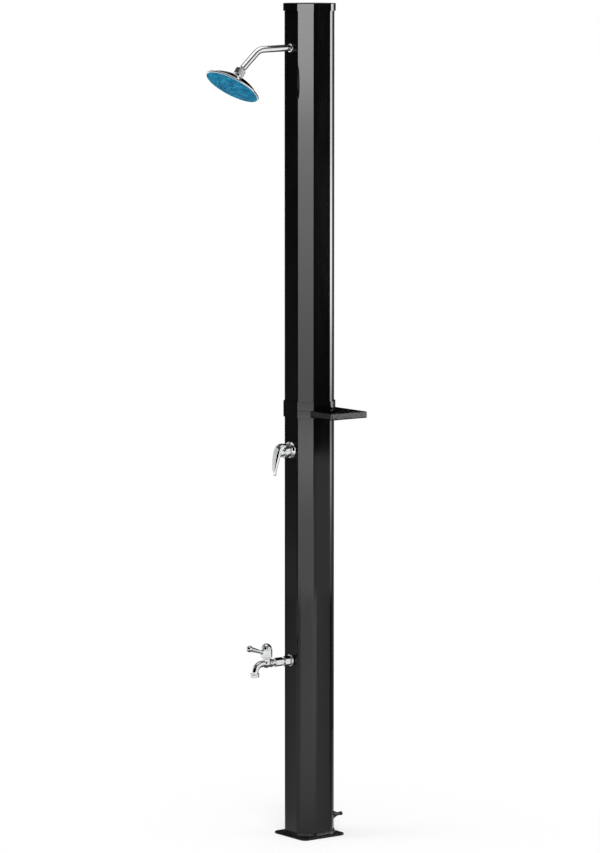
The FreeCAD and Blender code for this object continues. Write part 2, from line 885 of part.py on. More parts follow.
def mixer_body():
    """Shank through the wall, the barrel outside it and the manifold with three nipples inside."""
    flange_end = gasket_thickness + mixer_flange_length
    body = rod(mixer_shank_radius, -mixer_shoulder_depth, flange_end, mixer_at, FRONT)
    body = body.fuse(rod(mixer_barrel_radius, flange_end, mixer_barrel_end, mixer_at, FRONT))
    body = body.fuse(rod(mixer_shoulder_radius, -mixer_shoulder_depth, inner_face, mixer_at, FRONT))
    body = body.fuse(block((hot_line.x - manifold_side, -half + mixer_shoulder_depth, manifold_bottom),
                           (manifold_side, -half + manifold_depth, manifold_top)))
    ports = [(front_line, UP), (hot_line, UP), (front_line, DOWN)]
    reach = manifold_half_height + nipple_length
    for line, direction in ports:
        body = body.fuse(rod(nipple_radius, 0, reach, line + UP * mixer_height, direction))
    body = body.cut(rod(cartridge_bore, -cartridge_depth, mixer_barrel_end, mixer_at, FRONT))
    for line, direction in ports:
        body = body.cut(rod(nipple_bore, 2 * nipple_wall, reach, line + UP * mixer_height, direction))
    return body.removeSplitter()


def mixer_flange():
    start = gasket_thickness
    end = start + mixer_flange_length
    bore = mixer_shank_radius + thread_gap
    rim_end = start + mixer_flange_rim
    return turned([(bore, start), (mixer_flange_radius, start), (mixer_flange_radius, rim_end),
                   (mixer_flange_radius - mixer_flange_inset, rim_end + mixer_flange_round),
                   (mixer_barrel_radius, end), (bore, end)], mixer_at, FRONT)


def cartridge_body():
    bore = rotor_radius + running_gap
    cup = rod(cartridge_radius, -cartridge_depth, retainer_start, mixer_at, FRONT)
    return cup.cut(rod(bore, -rotor_depth - disc_thickness, retainer_start, mixer_at, FRONT))


def dome_nut():
    """Screws into the barrel, holds the cartridge down and carries the polished dome."""
    outer = cartridge_bore - thread_gap
    inner = rotor_radius + 2 * hole_gap
    opening = math.radians(dome_opening)
    inner_sphere = dome_radius - dome_wall
    web_radius = math.sqrt(inner_sphere ** 2 - dome_web ** 2)
    middle_out = (math.pi / 2 + opening) / 2
    web_angle = math.acos(dome_web / inner_sphere)
    middle_in = (web_angle + opening) / 2

    def sphere_step(radius, angle):
        return radius * math.sin(angle), mixer_barrel_end + radius * math.cos(angle)

    return turned([(inner, retainer_start), (outer, retainer_start), (outer, mixer_barrel_end),
                   (dome_radius, mixer_barrel_end),
                   sphere_step(dome_radius, middle_out) + sphere_step(dome_radius, opening),
                   sphere_step(inner_sphere, opening),
                   sphere_step(inner_sphere, middle_in) + (web_radius, mixer_barrel_end + dome_web),
                   (inner, mixer_barrel_end + dome_web)], mixer_at, FRONT)


def ceramic_disc():
    return rod(rotor_radius - thread_gap, -rotor_depth - disc_thickness, -rotor_depth, mixer_at, FRONT)


def stem_rotor():
    rotor = rod(rotor_radius, -rotor_depth, mixer_barrel_end + rotor_proud, mixer_at, FRONT)
    floor = half - rotor_depth + rotor_floor
    slot = block((-rotor_slot_width / 2, -2 * half, mixer_height - rotor_slot_height / 2),
                 (rotor_slot_width / 2, -floor, mixer_height + rotor_slot_height / 2))
    hole = rod(pin_radius, -rotor_radius, rotor_radius, pivot, RIGHT)
    return rotor.cut(slot).cut(hole)


def stem_pin():
    reach = rotor_radius - thread_gap
    return rod(pin_radius, -reach, reach, pivot, RIGHT)


def stem_bar(gap, back, front):
    """The stem's square section, widened by gap, from back to front along the stem."""
    across = stem_width / 2 + gap
    up = stem_height / 2 + gap
    return placed(block((-across, -up, back), (across, up, front)), pivot, stem_direction)


def lever_stem():
    bar = stem_bar(0, -stem_tail, stem_reach)
    return bar.cut(rod(pin_radius + running_gap, -stem_width, stem_width, pivot, RIGHT))


def lever_arm():
    """The hanging lever: its side outline and its front outline, each extruded, and what they share."""
    reach = lever_width / 2
    tip = lever_tip_width / 2
    left = mixer_at + LEFT * reach
    side = Part.Face(outline(lever_side, lambda distance, rise: left + FRONT * distance + UP * rise))
    side = side.extrude(RIGHT * lever_width)
    steps = [(-reach, lever_top), (-reach, lever_taper_start), (-tip, lever_taper_end),
             (-lever_tip_side, lever_tip_shoulder, 0, lever_end),
             (lever_tip_side, lever_tip_shoulder, tip, lever_taper_end),
             (reach, lever_taper_start), (reach, lever_top)]
    front = Part.Face(outline(steps, lambda x, rise: mixer_at + RIGHT * x + UP * rise))
    return side.common(front.extrude(FRONT * post_across))


def mixer_lever():
    edge = math.radians(hub_edge_angle)
    skirt = (hub_sphere * math.sin(edge), hub_sphere * math.cos(edge))
    middle = (hub_sphere * math.sin(edge / 2), hub_sphere * math.cos(edge / 2))
    hub = turned([skirt, (hub_radius, skirt[1]), (hub_radius, hub_straight),
                  (hub_radius - hub_round_in, hub_straight + hub_round_up,
                   hub_radius - hub_flat_inset, hub_crown),
                  (0, hub_crown), (0, hub_sphere), middle + skirt], pivot, stem_direction)
    boss = rod(boss_radius, hub_sphere, stem_reach + boss_cover, pivot, stem_direction)
    lever = hub.fuse(lever_arm()).fuse(boss).cut(ball(hub_sphere, pivot))
    lever = lever.common(Part.makeCone(0, total_height * math.tan(edge), total_height, pivot, stem_direction))
    lever = lever.cut(stem_bar(thread_gap, 0, stem_reach + thread_gap))
    lever = lever.cut(grub_shape(grub_radius + thread_gap, grub_hole_length))
    return lever.cut(index_shape(index_radius + thread_gap, half))


def grub_shape(radius, length):
    """A cylinder up from below, on to the stem inside the hub's boss."""
    down = Rotation(UP, stem_direction).multVec(FRONT)
    start = pivot + stem_direction * (hub_sphere + grub_place)
    return rod(radius, stem_height / 2 + thread_gap, stem_height / 2 + length, start, down)


def lever_screw():
    return grub_shape(grub_radius, grub_length)


index_at = mixer_at + FRONT * index_distance + UP * index_rise
index_axis = Vector(0, -math.cos(math.radians(index_tilt)), math.sin(math.radians(index_tilt)))


def index_shape(radius, outward):
    return rod(radius, -index_depth, outward, index_at, index_axis)


def index_cap():
    return index_shape(index_radius, index_proud)


# ---- Tap ----
tap_at = off_face(FRONT, tap_height)
valve_at = tap_at + FRONT * valve_centre
spout_corner = valve_at + FRONT * (spout_run + spout_bend)
spout_end = spout_corner + DOWN * spout_drop
spout_bore = spout_radius - spout_wall
seat_reach = math.sqrt(ball_valve_radius ** 2 - ball_valve_bore ** 2)


def tap_body():
    """Threaded tail, barrel with a spanner hexagon, valve chamber with its boss, and the spout."""
    nut_end = gasket_thickness + backnut_length
    ring_end = barrel_ring_start + barrel_ring_length
    bevel_end = ring_end + barrel_ring_bevel
    steps = [(0, -tail_depth), (tap_tail_radius, -tail_depth), (tap_tail_radius, nut_end),
             (barrel_radius, nut_end + barrel_bevel), (barrel_radius, barrel_hex_end),
             (barrel_waist_radius, barrel_hex_end + barrel_waist_taper),
             (barrel_waist_radius, barrel_ring_start - barrel_ring_taper),
             (barrel_ring_radius, barrel_ring_start), (barrel_ring_radius, ring_end),
             (valve_neck_radius, bevel_end), (0, bevel_end)]
    body = turned(steps, tap_at, FRONT)
    body = body.fuse(hexagon(barrel_hex_across, barrel_hex_start, barrel_hex_end, tap_at, FRONT))
    body = body.fuse(rod(valve_neck_radius, barrel_ring_start, valve_centre, tap_at, FRONT))
    body = body.fuse(ball(valve_radius, valve_at))
    body = body.fuse(rod(valve_boss_radius, 0, boss_height, valve_at, UP))
    spout = rod_along([valve_at, spout_corner, spout_end], spout_bend, spout_radius)
    body = body.fuse(spout).removeSplitter()
    channel_start = valve_at + FRONT * ball_valve_radius
    body = body.cut(rod_along([channel_start, spout_corner, spout_end], spout_bend, spout_bore))
    body = body.cut(rod(spout_bore, -tail_depth, valve_centre, tap_at, FRONT))
    body = body.cut(ball(ball_valve_radius + ball_valve_gap, valve_at))
    seat_end = seat_reach + ball_seat_length
    body = body.cut(rod(ball_seat_radius + thread_gap, -seat_end, seat_end, valve_at, FRONT))
    body = body.cut(rod(spindle_radius + running_gap, 0, boss_height, valve_at, UP))
    return body.cut(rod(packing_radius + thread_gap, boss_height - packing_depth, boss_height, valve_at, UP))


def tap_backnut():
    start = gasket_thickness
    nut = rod(backnut_flange_radius, start, start + backnut_flange_length, tap_at, FRONT)
    nut = nut.fuse(hexagon(backnut_across, start, start + backnut_length, tap_at, FRONT))
    end = start + backnut_length
    flats = backnut_across / 2
    bevel = turned([(0, start), (backnut_flange_radius, start),
                    (backnut_flange_radius, start + backnut_flange_length),
                    (flats + backnut_corner, end - backnut_bevel), (flats, end), (0, end)], tap_at, FRONT)
    return nut.common(bevel).cut(rod(tap_tail_radius + thread_gap, start, end, tap_at, FRONT))


def valve_ball():
    sphere = ball(ball_valve_radius, valve_at)
    sphere = sphere.cut(rod(ball_valve_bore, -ball_valve_radius, ball_valve_radius, valve_at, RIGHT))
    return sphere.cut(tang(tang_width / 2 + running_gap, 0, 0))


def tang(half_width, lift, extra):
    """The flat that lets the spindle turn the ball, lifted off the slot's floor and made taller by extra."""
    low = ball_valve_radius - tang_height
    x, y = valve_at.x, valve_at.y
    return block((x - ball_valve_radius, y - half_width, tap_height + low + lift),
                 (x + ball_valve_radius, y + half_width, tap_height + ball_valve_radius + extra))


def ball_seats():
    seats = []
    for side in (FRONT, REAR):
        seat = ring(ball_seat_radius, spout_bore, seat_reach, seat_reach + ball_seat_length, valve_at, side)
        seats.append(seat.cut(ball(ball_valve_radius + running_gap, valve_at)))
    return Part.makeCompound(seats)


def tap_spindle():
    bottom = ball_valve_radius + ball_valve_gap
    spindle = rod(spindle_radius, bottom, spindle_top, valve_at, UP)
    foot = tang(tang_width / 2, thread_gap, ball_valve_gap)
    foot = foot.common(rod(spindle_radius, 0, bottom, valve_at, UP))
    screw_end = spindle_top - handle_screw_length
    screw_hole = rod(handle_screw_radius + thread_gap, screw_end, spindle_top, valve_at, UP)
    return spindle.fuse(foot).cut(screw_hole)


def spindle_packing():
    bore = spindle_radius + running_gap
    return ring(packing_radius, bore, boss_height - packing_depth, boss_height, valve_at, UP)


def tap_bonnet():
    nut = hexagon(bonnet_across, boss_height, boss_height + bonnet_height, valve_at, UP)
    return nut.cut(rod(spindle_radius + running_gap, boss_height, boss_height + bonnet_height, valve_at, UP))


def tap_handle():
    """Hub on the spindle, open underneath, with the lever that rises forwards from it."""
    hub = rod(handle_radius, handle_bottom, handle_top, valve_at, UP)
    rise = math.radians(lever_rise)
    direction = Vector(0, -math.cos(rise), math.sin(rise))
    root = valve_at + UP * lever_root_height
    lever = turned([(0, 0), (lever_root_radius, 0), (lever_root_radius, lever_flare_start),
                    (lever_flare_radius, lever_flare_middle, lever_bulb_radius, lever_bulb_centre),
                    (0, lever_bulb_centre)], root, direction)
    tip = root + direction * lever_bulb_centre
    handle = hub.fuse(lever).fuse(ball(lever_bulb_radius, tip)).removeSplitter()
    skirt_end = handle_bottom + handle_skirt_height
    handle = handle.cut(rod(handle_radius - handle_skirt_wall, handle_bottom, skirt_end, valve_at, UP))
    return handle.cut(rod(spindle_radius + thread_gap, handle_bottom, handle_top, valve_at, UP))


def handle_knob():
    """Fluted dome on top of the hub, over the handle's screw."""
    radius = handle_radius - knob_inset
    band_top = handle_top + knob_height - radius
    dome = Part.makeSphere(radius, valve_at + UP * band_top, UP, 0, 90, 360)
    dome = dome.fuse(rod(radius, handle_top, band_top, valve_at, UP)).removeSplitter()
    for k in range(knob_flutes):
        spoke = Rotation(UP, 360.0 * (k + 0.5) / knob_flutes).multVec(FRONT)
        foot = valve_at + spoke * (radius + knob_flute_out) + UP * handle_top
        dome = dome.cut(rod(knob_flute_radius, 0, knob_height, foot, UP))
    room = handle_screw_head + 2 * hole_gap
    return dome.cut(rod(room, handle_top, spindle_top + handle_screw_radius + screw_end_room, valve_at, UP))


def handle_screw():
    head = rod(handle_screw_head, spindle_top, spindle_top + handle_screw_radius, valve_at, UP)
    shank_end = spindle_top - handle_screw_length + screw_end_room
    return head.fuse(rod(handle_screw_radius, shank_end, spindle_top, valve_at, UP))


def spout_nozzle():
    """Outlet cap on the end of the spout, with a hose thread's plain outside."""
    bore = spout_radius + thread_gap
    top = spout_drop - nozzle_cap_length + nozzle_cap_wall
    end = spout_drop + nozzle_cap_wall
    bevel = nozzle_cap_bevel
    return turned([(bore, top), (nozzle_cap_radius - bevel, top), (nozzle_cap_radius, top + bevel),
                   (nozzle_cap_radius, end - bevel), (nozzle_cap_radius - bevel, end), (spout_bore, end),
                   (spout_bore, spout_drop), (bore, spout_drop)], spout_corner, DOWN)


# ---- Hose inlet ----
inlet_at = off_face(REAR, inlet_height)


def inlet_connector():
    """Tail through the wall, flange, spanner hexagon and a stepped hose tail behind the post."""
    start = gasket_thickness
    flange_end = start + inlet_flange_length
    hex_end = flange_end + inlet_hex_length
    tip_start = inlet_nose_end - inlet_tip_length
    body = turned([(0, -tail_depth), (inlet_tail_radius, -tail_depth), (inlet_tail_radius, start),
                   (inlet_flange_radius, start), (inlet_flange_radius, flange_end),
                   (inlet_cone_radius, flange_end), (inlet_cone_radius, hex_end + inlet_cone_start),
                   (inlet_nose_radius, inlet_cone_end),
                   (inlet_nose_radius, tip_start), (inlet_tip_radius, tip_start),
                   (inlet_tip_radius, inlet_nose_end - inlet_tip_bevel),
                   (inlet_tip_radius - inlet_tip_bevel, inlet_nose_end), (0, inlet_nose_end)], inlet_at, REAR)
    body = body.fuse(hexagon(inlet_hex_across, flange_end, hex_end, inlet_at, REAR))
    return body.cut(rod(inlet_bore, -tail_depth, inlet_nose_end, inlet_at, REAR))


def cold_pipe():
    return straight_pipe(front_line, cold_start, cold_end)


def shower_pipe():
    return straight_pipe(front_line, shower_start, shower_end)


def hot_pipe():
    """Draws from the top of the tank, through its open end."""
    return straight_pipe(hot_line, shower_start, hot_end)


def inlet_gaskets():
    return gaskets(REAR, inlet_height, inlet_tail_radius, inlet_flange_radius, flange_radius)


def inlet_tee():
    return wall_fitting(REAR, inlet_height, inlet_tail_radius, False, True, fill_spout_length)


def tap_gaskets():
    return gaskets(FRONT, tap_height, tap_tail_radius, backnut_flange_radius, flange_radius)


def tap_tee():
    return wall_fitting(FRONT, tap_height, tap_tail_radius, True, True)


def mixer_gaskets():
    return gaskets(FRONT, mixer_height, mixer_shank_radius, mixer_flange_radius, mixer_shoulder_radius)


def arm_gaskets():
    return gaskets(FRONT, arm_height, arm_radius, arm_flange_radius + gasket_margin, flange_radius)


def arm_elbow():
    return wall_fitting(FRONT, arm_height, arm_radius, True, False)


# ---- Every piece, from the ground up ----
PIECES = [
    base_plate, base_screws, lower_end_plug, lower_tube, upper_tube, upper_end_plug, top_cap,
    lower_bulkhead, upper_bulkhead, joint_seal, joint_collar, soap_dish, clamp_screws,
    cold_riser, cold_pipe, shower_pipe, hot_pipe, pipe_clips, hose_clamps,
    inlet_connector, inlet_gaskets, inlet_tee,
    tap_body, tap_backnut, tap_gaskets, tap_tee, valve_ball, ball_seats, tap_spindle, spindle_packing,
    tap_bonnet, tap_handle, handle_knob, handle_screw, spout_nozzle,
    mixer_body, mixer_flange, mixer_gaskets, cartridge_body, dome_nut, ceramic_disc, stem_rotor, stem_pin,
    lever_stem, mixer_lever, lever_screw, index_cap,
    arm_elbow, arm_tube, arm_flange, arm_gaskets, swivel_ball, swivel_seat, swivel_nut,
    head_shell, head_face, nozzle_mat, head_seal,
]

for make in PIECES:
    save(make.__name__, make())
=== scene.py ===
import json
import math

import bmesh
import bpy
from mathutils import Matrix, Vector


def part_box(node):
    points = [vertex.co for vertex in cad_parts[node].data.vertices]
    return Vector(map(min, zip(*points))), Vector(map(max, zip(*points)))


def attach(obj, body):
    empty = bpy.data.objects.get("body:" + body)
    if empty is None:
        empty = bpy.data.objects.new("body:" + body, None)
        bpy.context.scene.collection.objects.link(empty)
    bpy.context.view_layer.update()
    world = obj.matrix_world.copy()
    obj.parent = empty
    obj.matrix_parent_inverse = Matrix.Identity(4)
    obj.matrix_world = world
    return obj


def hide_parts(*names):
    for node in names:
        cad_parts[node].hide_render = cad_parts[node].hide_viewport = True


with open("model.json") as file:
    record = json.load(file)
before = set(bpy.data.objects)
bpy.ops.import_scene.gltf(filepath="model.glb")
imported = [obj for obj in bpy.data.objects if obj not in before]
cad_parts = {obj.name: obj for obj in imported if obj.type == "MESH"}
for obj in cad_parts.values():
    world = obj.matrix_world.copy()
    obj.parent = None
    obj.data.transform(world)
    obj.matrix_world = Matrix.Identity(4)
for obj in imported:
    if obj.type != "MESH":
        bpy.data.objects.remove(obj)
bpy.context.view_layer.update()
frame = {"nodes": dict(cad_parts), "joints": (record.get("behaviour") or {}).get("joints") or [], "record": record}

# ---- Sizes, in millimetres ----
post_chamfer = 31.0
post_edge_radius = 20.0
post_wall = 3.0
cap_proud = 3.5
cap_edge_radius = 1.5
collar_proud = 3.5
collar_edge_radius = 1.0
sleeve_gap = 0.3
dish_tail = -20.0
dish_front = -39.0
dish_back = 80.0
dish_rim_drop = 1.0
dish_wall = 2.5
dish_floor = 2.5
dish_depth = 16.0
dish_corner_radius = 4.0
dish_rim_radius = 0.7
drain_radius = 1.9
drain_count = 5
drain_spacing = 18.0
clamp_radius = 2.0
clamp_spacing = 50.0
clamp_proud = 0.3
clamp_edge = 0.3
clamp_socket = 1.1
clamp_socket_depth = 1.5
base_corner_radius = 16.0
base_thickness = 5.0
base_edge_radius = 1.5
base_hole_radius = 5.0
hole_chamfer = 1.0
base_hole_spacing = 114.0
skirt = [(7.0, 5.0), (4.2, 6.6), (2.5, 9.5), (1.5, 14.0)]     # how far out, and how high
hex_tip = 0.07               # how far a nut's corners are cut back, as a share of its width
gasket = 1.5
arm_radius = 8.75
arm_straight = 14.0
arm_droop = 2.0
arm_run = 103.0
arm_leg = 70.0
arm_bend = 38.0
arm_slope = 42.0
arm_flange_radius = 11.5
arm_flange_length = 5.0
head_slope = 57.0
ball_radius = 9.5
ball_neck_radius = 4.2
ball_neck_length = 12.5
nut_radius = 13.5
nut_top = -7.0
nut_below = 11.0
nut_mouth = 8.9
nut_knurls = 24
nut_knurl_depth = 0.7
head_neck_radius = 10.0
head_neck_end = 16.0
dome_start_radius = 13.0
dome_start = 18.0
dome_swell_radius = 47.0
dome_swell = 27.0
head_radius = 75.0
rim_top = 43.0
rim_height = 4.2
face_radius = 72.5
face_crown = 2.6
face_gap = 0.2
nozzle_rings = 5
nozzle_ring_step = 12.0
nozzle_ring_count = 6
nozzle_radius = 1.3
nozzle_proud = 1.2
mixer_flange_radius = 22.5
mixer_flange_length = 6.5
mixer_barrel_radius = 18.5
mixer_barrel_end = 12.0
mixer_dome_radius = 15.5
mixer_dome_opening = 30.0
hub_radius = 18.8
hub_hollow = 15.9
hub_edge = 3.1
hub_straight = 13.0
hub_crown = 19.0
hub_shoulder = 4.0
boss_radius = 12.5
boss_end = 31.0
stem_droop = 10.0
index_radius = 3.5
index_cover = 0.9
index_distance = 43.4
index_rise = 11.2
index_tilt = 43.8
backnut_flange_radius = 15.5
backnut_flange_length = 3.5
backnut_across = 24.0
backnut_length = 25.0
barrel_radius = 9.5
barrel_hex_across = 21.0
barrel_hex_start = 31.0
barrel_hex_end = 56.0
barrel_waist_radius = 8.3
barrel_ring_start = 65.0
barrel_ring_length = 3.5
barrel_ring_radius = 11.6
valve_neck_radius = 10.1
valve_centre = 81.0
valve_radius = 12.2
valve_boss_radius = 10.5
valve_bore = 6.0
valve_ball_room = 8.4
boss_height = 13.0
bonnet_across = 21.0
bonnet_height = 3.0
spout_radius = 8.75
spout_bore = 6.45
spout_run = 16.0
spout_bend = 22.0
spout_drop = 31.0
nozzle_cap_radius = 11.5
nozzle_cap_length = 11.0
nozzle_cap_wall = 2.2
handle_radius = 15.5
handle_bottom = 17.0
handle_top = 37.0
knob_height = 16.0
knob_inset = 0.8
knob_flutes = 12
knob_flute_depth = 1.0
lever_rise = 18.0
lever_root_height = 26.0
lever_root_radius = 5.0
lever_flare_start = 29.0
lever_bulb_radius = 8.8
lever_bulb_centre = 58.0
inlet_flange_radius = 16.0
inlet_flange_length = 3.0
inlet_hex_across = 25.0
inlet_hex_length = 11.0
inlet_cone_radius = 10.5
inlet_cone_start = 18.0
inlet_cone_end = 34.0
inlet_nose_radius = 4.5
inlet_nose_end = 48.0
inlet_tip_radius = 5.2
inlet_tip_length = 5.0
inlet_bore = 3.0

# ---- Places, in millimetres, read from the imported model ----
mm = 0.001
FRONT = Vector((0, -1, 0))
REAR = Vector((0, 1, 0))
LEFT = Vector((-1, 0, 0))
UP = Vector((0, 0, 1))
DOWN = Vector((0, 0, -1))


def corners(node):
    low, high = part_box(node)
    return low / mm, high / mm


def middle(node):
    low, high = corners(node)
    return (low + high) / 2


def sloped(angle):
    """The direction forwards and angle degrees below horizontal."""
    turn = math.radians(angle)
    return FRONT * math.cos(turn) + DOWN * math.sin(turn)


half = corners("lower_tube")[1].x
tube_top = corners("upper_tube")[1].z
joint_height = corners("upper_tube")[0].z
pivots = {joint["name"]: Vector(joint["pos_m"]) / mm for joint in frame["joints"]}
arm_at = FRONT * half + UP * middle("arm_flange").z
mixer_at = FRONT * half + UP * pivots["mixer_turn"].z
tap_at = FRONT * half + UP * middle("tap_backnut").z
valve_at = tap_at + FRONT * valve_centre
inlet_at = REAR * half + UP * middle("inlet_connector").z
ball_at = pivots["head_spin"]
head_axis = sloped(head_slope)


# ---- Camera: where the photograph was taken from ----
camera_azimuth = 52.9
camera_elevation = 6.6
camera_distance = 11.0
camera_lens = 176.4
camera_sensor = 36.0
camera_aim_height = 1.0909
camera_aim_side = -0.0247


# ---- Materials ----
class Paint:
    """A node material on one Principled shader, with patterns laid in the piece's own coordinates."""

    def __init__(self, name, colour, roughness, metallic=0.0):
        self.material = bpy.data.materials.new(name)
        self.material.use_nodes = True
        self.nodes = self.material.node_tree.nodes
        self.links = self.material.node_tree.links
        self.shader = self.nodes["Principled BSDF"]
        self.place = self.nodes.new("ShaderNodeTexCoord").outputs["Object"]
        self.set("Base Color", (*colour, 1.0))
        self.set("Roughness", roughness)
        self.set("Metallic", metallic)

    def set(self, socket, value):
        self.shader.inputs[socket].default_value = value
        return self

    def noise(self, scale, detail=3.0, stretch=(1.0, 1.0, 1.0)):
        """Soft noise with scale grains to the metre, stretched along the piece's axes."""
        mapping = self.nodes.new("ShaderNodeMapping")
        mapping.inputs["Scale"].default_value = stretch
        self.links.new(self.place, mapping.inputs["Vector"])
        noise = self.nodes.new("ShaderNodeTexNoise")
        noise.inputs["Scale"].default_value = scale
        noise.inputs["Detail"].default_value = detail
        self.links.new(mapping.outputs["Vector"], noise.inputs["Vector"])
        return noise.outputs["Fac"]

    def spread(self, source, low, high, start=0.35, end=0.65):
        """Turn a pattern's values from start to end into numbers from low to high."""
        span = self.nodes.new("ShaderNodeMapRange")
        for socket, value in (("From Min", start), ("From Max", end), ("To Min", low), ("To Max", high)):
            span.inputs[socket].default_value = value
        self.links.new(source, span.inputs["Value"])
        return span.outputs["Result"]

    def rough(self, pattern, low, high, start=0.35, end=0.65):
        """Roughness from low to high. A pattern is what noise takes: scale, detail and stretch."""
        spread = self.spread(self.noise(*pattern), low, high, start, end)
        self.links.new(spread, self.shader.inputs["Roughness"])
        return self

    def tint(self, pattern, dark, light, start=0.35, end=0.65):
        source = self.noise(*pattern)
        mix = self.nodes.new("ShaderNodeMix")
        mix.data_type = "RGBA"
        mix.inputs["A"].default_value = (*dark, 1.0)
        mix.inputs["B"].default_value = (*light, 1.0)
        self.links.new(self.spread(source, 0.0, 1.0, start, end), mix.inputs["Factor"])
        self.links.new(mix.outputs["Result"], self.shader.inputs["Base Color"])
        return self

    def bump(self, pattern, height):
        """Raise the surface by height metres where the pattern is white."""
        source = self.noise(*pattern)
        bump = self.nodes.new("ShaderNodeBump")
        bump.inputs["Distance"].default_value = height
        bump.inputs["Strength"].default_value = 1.0
        self.links.new(source, bump.inputs["Height"])
        self.links.new(bump.outputs["Normal"], self.shader.inputs["Normal"])
        return self


def polished_black():
    """Extruded and moulded black plastic, polished, with faint dust and die lines."""
    paint = Paint("polished_black", (0.002, 0.002, 0.0022), 0.06)
    paint.set("IOR", 1.37)
    paint.tint((14, 5), (0.0016, 0.0016, 0.0018), (0.0026, 0.0026, 0.0028))
    paint.rough((30, 6, (1, 1, 0.25)), 0.045, 0.085)
    paint.bump((260, 2, (1, 1, 0.06)), 0.00001)
    return paint.material


def satin_black():
    """Moulded black plastic of the base and the hose fitting, finely textured."""
    paint = Paint("satin_black", (0.004, 0.004, 0.0042), 0.42)
    paint.set("IOR", 1.3).set("Specular IOR Level", 0.3)
    paint.tint((40, 5), (0.0028, 0.0028, 0.003), (0.006, 0.006, 0.0063))
    paint.rough((90, 4), 0.36, 0.5)
    paint.bump((2600, 2), 0.00002)
    return paint.material


def moulded_black():
    """Black plastic of the soap dish, straight from its mould and a little greyer than the post."""
    paint = Paint("moulded_black", (0.01, 0.01, 0.0103), 0.34)
    paint.set("IOR", 1.4)
    paint.tint((30, 5), (0.007, 0.007, 0.0072), (0.013, 0.013, 0.0133))
    paint.rough((120, 4), 0.28, 0.42)
    paint.bump((2200, 2), 0.00002)
    return paint.material


def bright_chrome():
    """Chrome plate: nearly a mirror, with faint water marks."""
    paint = Paint("bright_chrome", (0.8, 0.81, 0.82), 0.05, metallic=1.0)
    paint.tint((120, 4), (0.74, 0.75, 0.765), (0.86, 0.865, 0.87))
    paint.rough((340, 6), 0.035, 0.085, 0.4, 0.75)
    paint.bump((90, 1), 0.000015)
    return paint.material


def clear_blue():
    """Tinted see-through plastic of the head's face, uneven where the light gets through."""
    paint = Paint("clear_blue", (0.008, 0.3, 0.55), 0.16)
    paint.set("Transmission Weight", 0.12).set("IOR", 1.4)
    paint.set("Coat Weight", 0.15).set("Coat Roughness", 0.08)
    paint.tint((48, 2, (0.6, 1.4, 1.4)), (0.003, 0.2, 0.4), (0.014, 0.38, 0.63), 0.36, 0.64)
    paint.rough((400, 4), 0.12, 0.24)
    return paint.material


def silicone_blue():
    """Soft rubber of the nozzles."""
    paint = Paint("silicone_blue", (0.006, 0.075, 0.16), 0.55)
    paint.tint((500, 4), (0.004, 0.055, 0.12), (0.01, 0.1, 0.2))
    paint.bump((3000, 2), 0.00003)
    return paint.material


def black_rubber():
    paint = Paint("black_rubber", (0.012, 0.012, 0.012), 0.6)
    paint.tint((300, 5), (0.007, 0.007, 0.007), (0.02, 0.02, 0.02))
    paint.rough((500, 4), 0.45, 0.7)
    return paint.material


def moulded_grey():
    """Dark moulded plastic of the pieces inside the post."""
    paint = Paint("moulded_grey", (0.04, 0.04, 0.042), 0.45)
    paint.tint((80, 4), (0.03, 0.03, 0.032), (0.05, 0.05, 0.053))
    paint.bump((1500, 2), 0.00003)
    return paint.material


def white_plastic():
    paint = Paint("white_plastic", (0.75, 0.75, 0.73), 0.4)
    paint.tint((100, 4), (0.68, 0.68, 0.66), (0.8, 0.8, 0.79))
    paint.rough((200, 4), 0.32, 0.5)
    return paint.material


def turned_brass():
    paint = Paint("turned_brass", (0.7, 0.5, 0.22), 0.3, metallic=1.0)
    paint.tint((150, 5), (0.6, 0.42, 0.18), (0.76, 0.56, 0.27))
    paint.rough((900, 3), 0.2, 0.4)
    return paint.material


def stainless():
    paint = Paint("stainless", (0.6, 0.6, 0.6), 0.3, metallic=1.0)
    paint.tint((200, 4), (0.52, 0.52, 0.53), (0.66, 0.66, 0.66))
    paint.rough((1200, 3), 0.22, 0.38)
    return paint.material


def ground_ceramic():
    paint = Paint("ground_ceramic", (0.85, 0.84, 0.8), 0.15)
    paint.tint((900, 3), (0.8, 0.79, 0.75), (0.88, 0.87, 0.84))
    return paint.material


finishes = {
    "gloss_black": polished_black(),
    "base_black": satin_black(),
    "chrome": bright_chrome(),
    "clear_blue": clear_blue(),
    "nozzle_rubber": silicone_blue(),
    "seal_rubber": black_rubber(),
    "seat_plastic": white_plastic(),
    "inner_plastic": moulded_grey(),
    "brass": turned_brass(),
    "ceramic": ground_ceramic(),
    "steel": stainless(),
}
finishes["fitting_black"] = finishes["base_black"]
finishes["white_pipe"] = finishes["seat_plastic"]
finishes["index_grey"] = finishes["inner_plastic"]


# A card lights the chrome alone, or everything but the chrome.
chrome_pieces = bpy.data.collections.new("chrome_pieces")
all_but_chrome = bpy.data.collections.new("all_but_chrome")


def dress_frame():
    """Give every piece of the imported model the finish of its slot."""
    for part in frame["record"]["subparts"]:
        node = frame["nodes"][part["node"]]
        node.data.materials.clear()
        node.data.materials.append(finishes[part["material_slot"]])


# ---- Shaping: every shape is drawn in millimetres along +Z and then stood on its place ----
bar_sides = 48
bend_steps = 14              # to the radian of a bar's bend
slack = 0.01


def bevelled(bm, geom, offset, segments, affect="EDGES", clamp=False):
    """Round off edges, or corners where affect is VERTICES. One segment gives a flat bevel."""
    bmesh.ops.bevel(bm, geom=geom, offset=offset, segments=segments, profile=0.5, affect=affect,
                    clamp_overlap=clamp, material=-1)


def verts_among(geometry):
    return [item for item in geometry if isinstance(item, bmesh.types.BMVert)]


def edges_among(geometry):
    return [item for item in geometry if isinstance(item, bmesh.types.BMEdge)]


def faces_among(geometry):
    return [item for item in geometry if isinstance(item, bmesh.types.BMFace)]


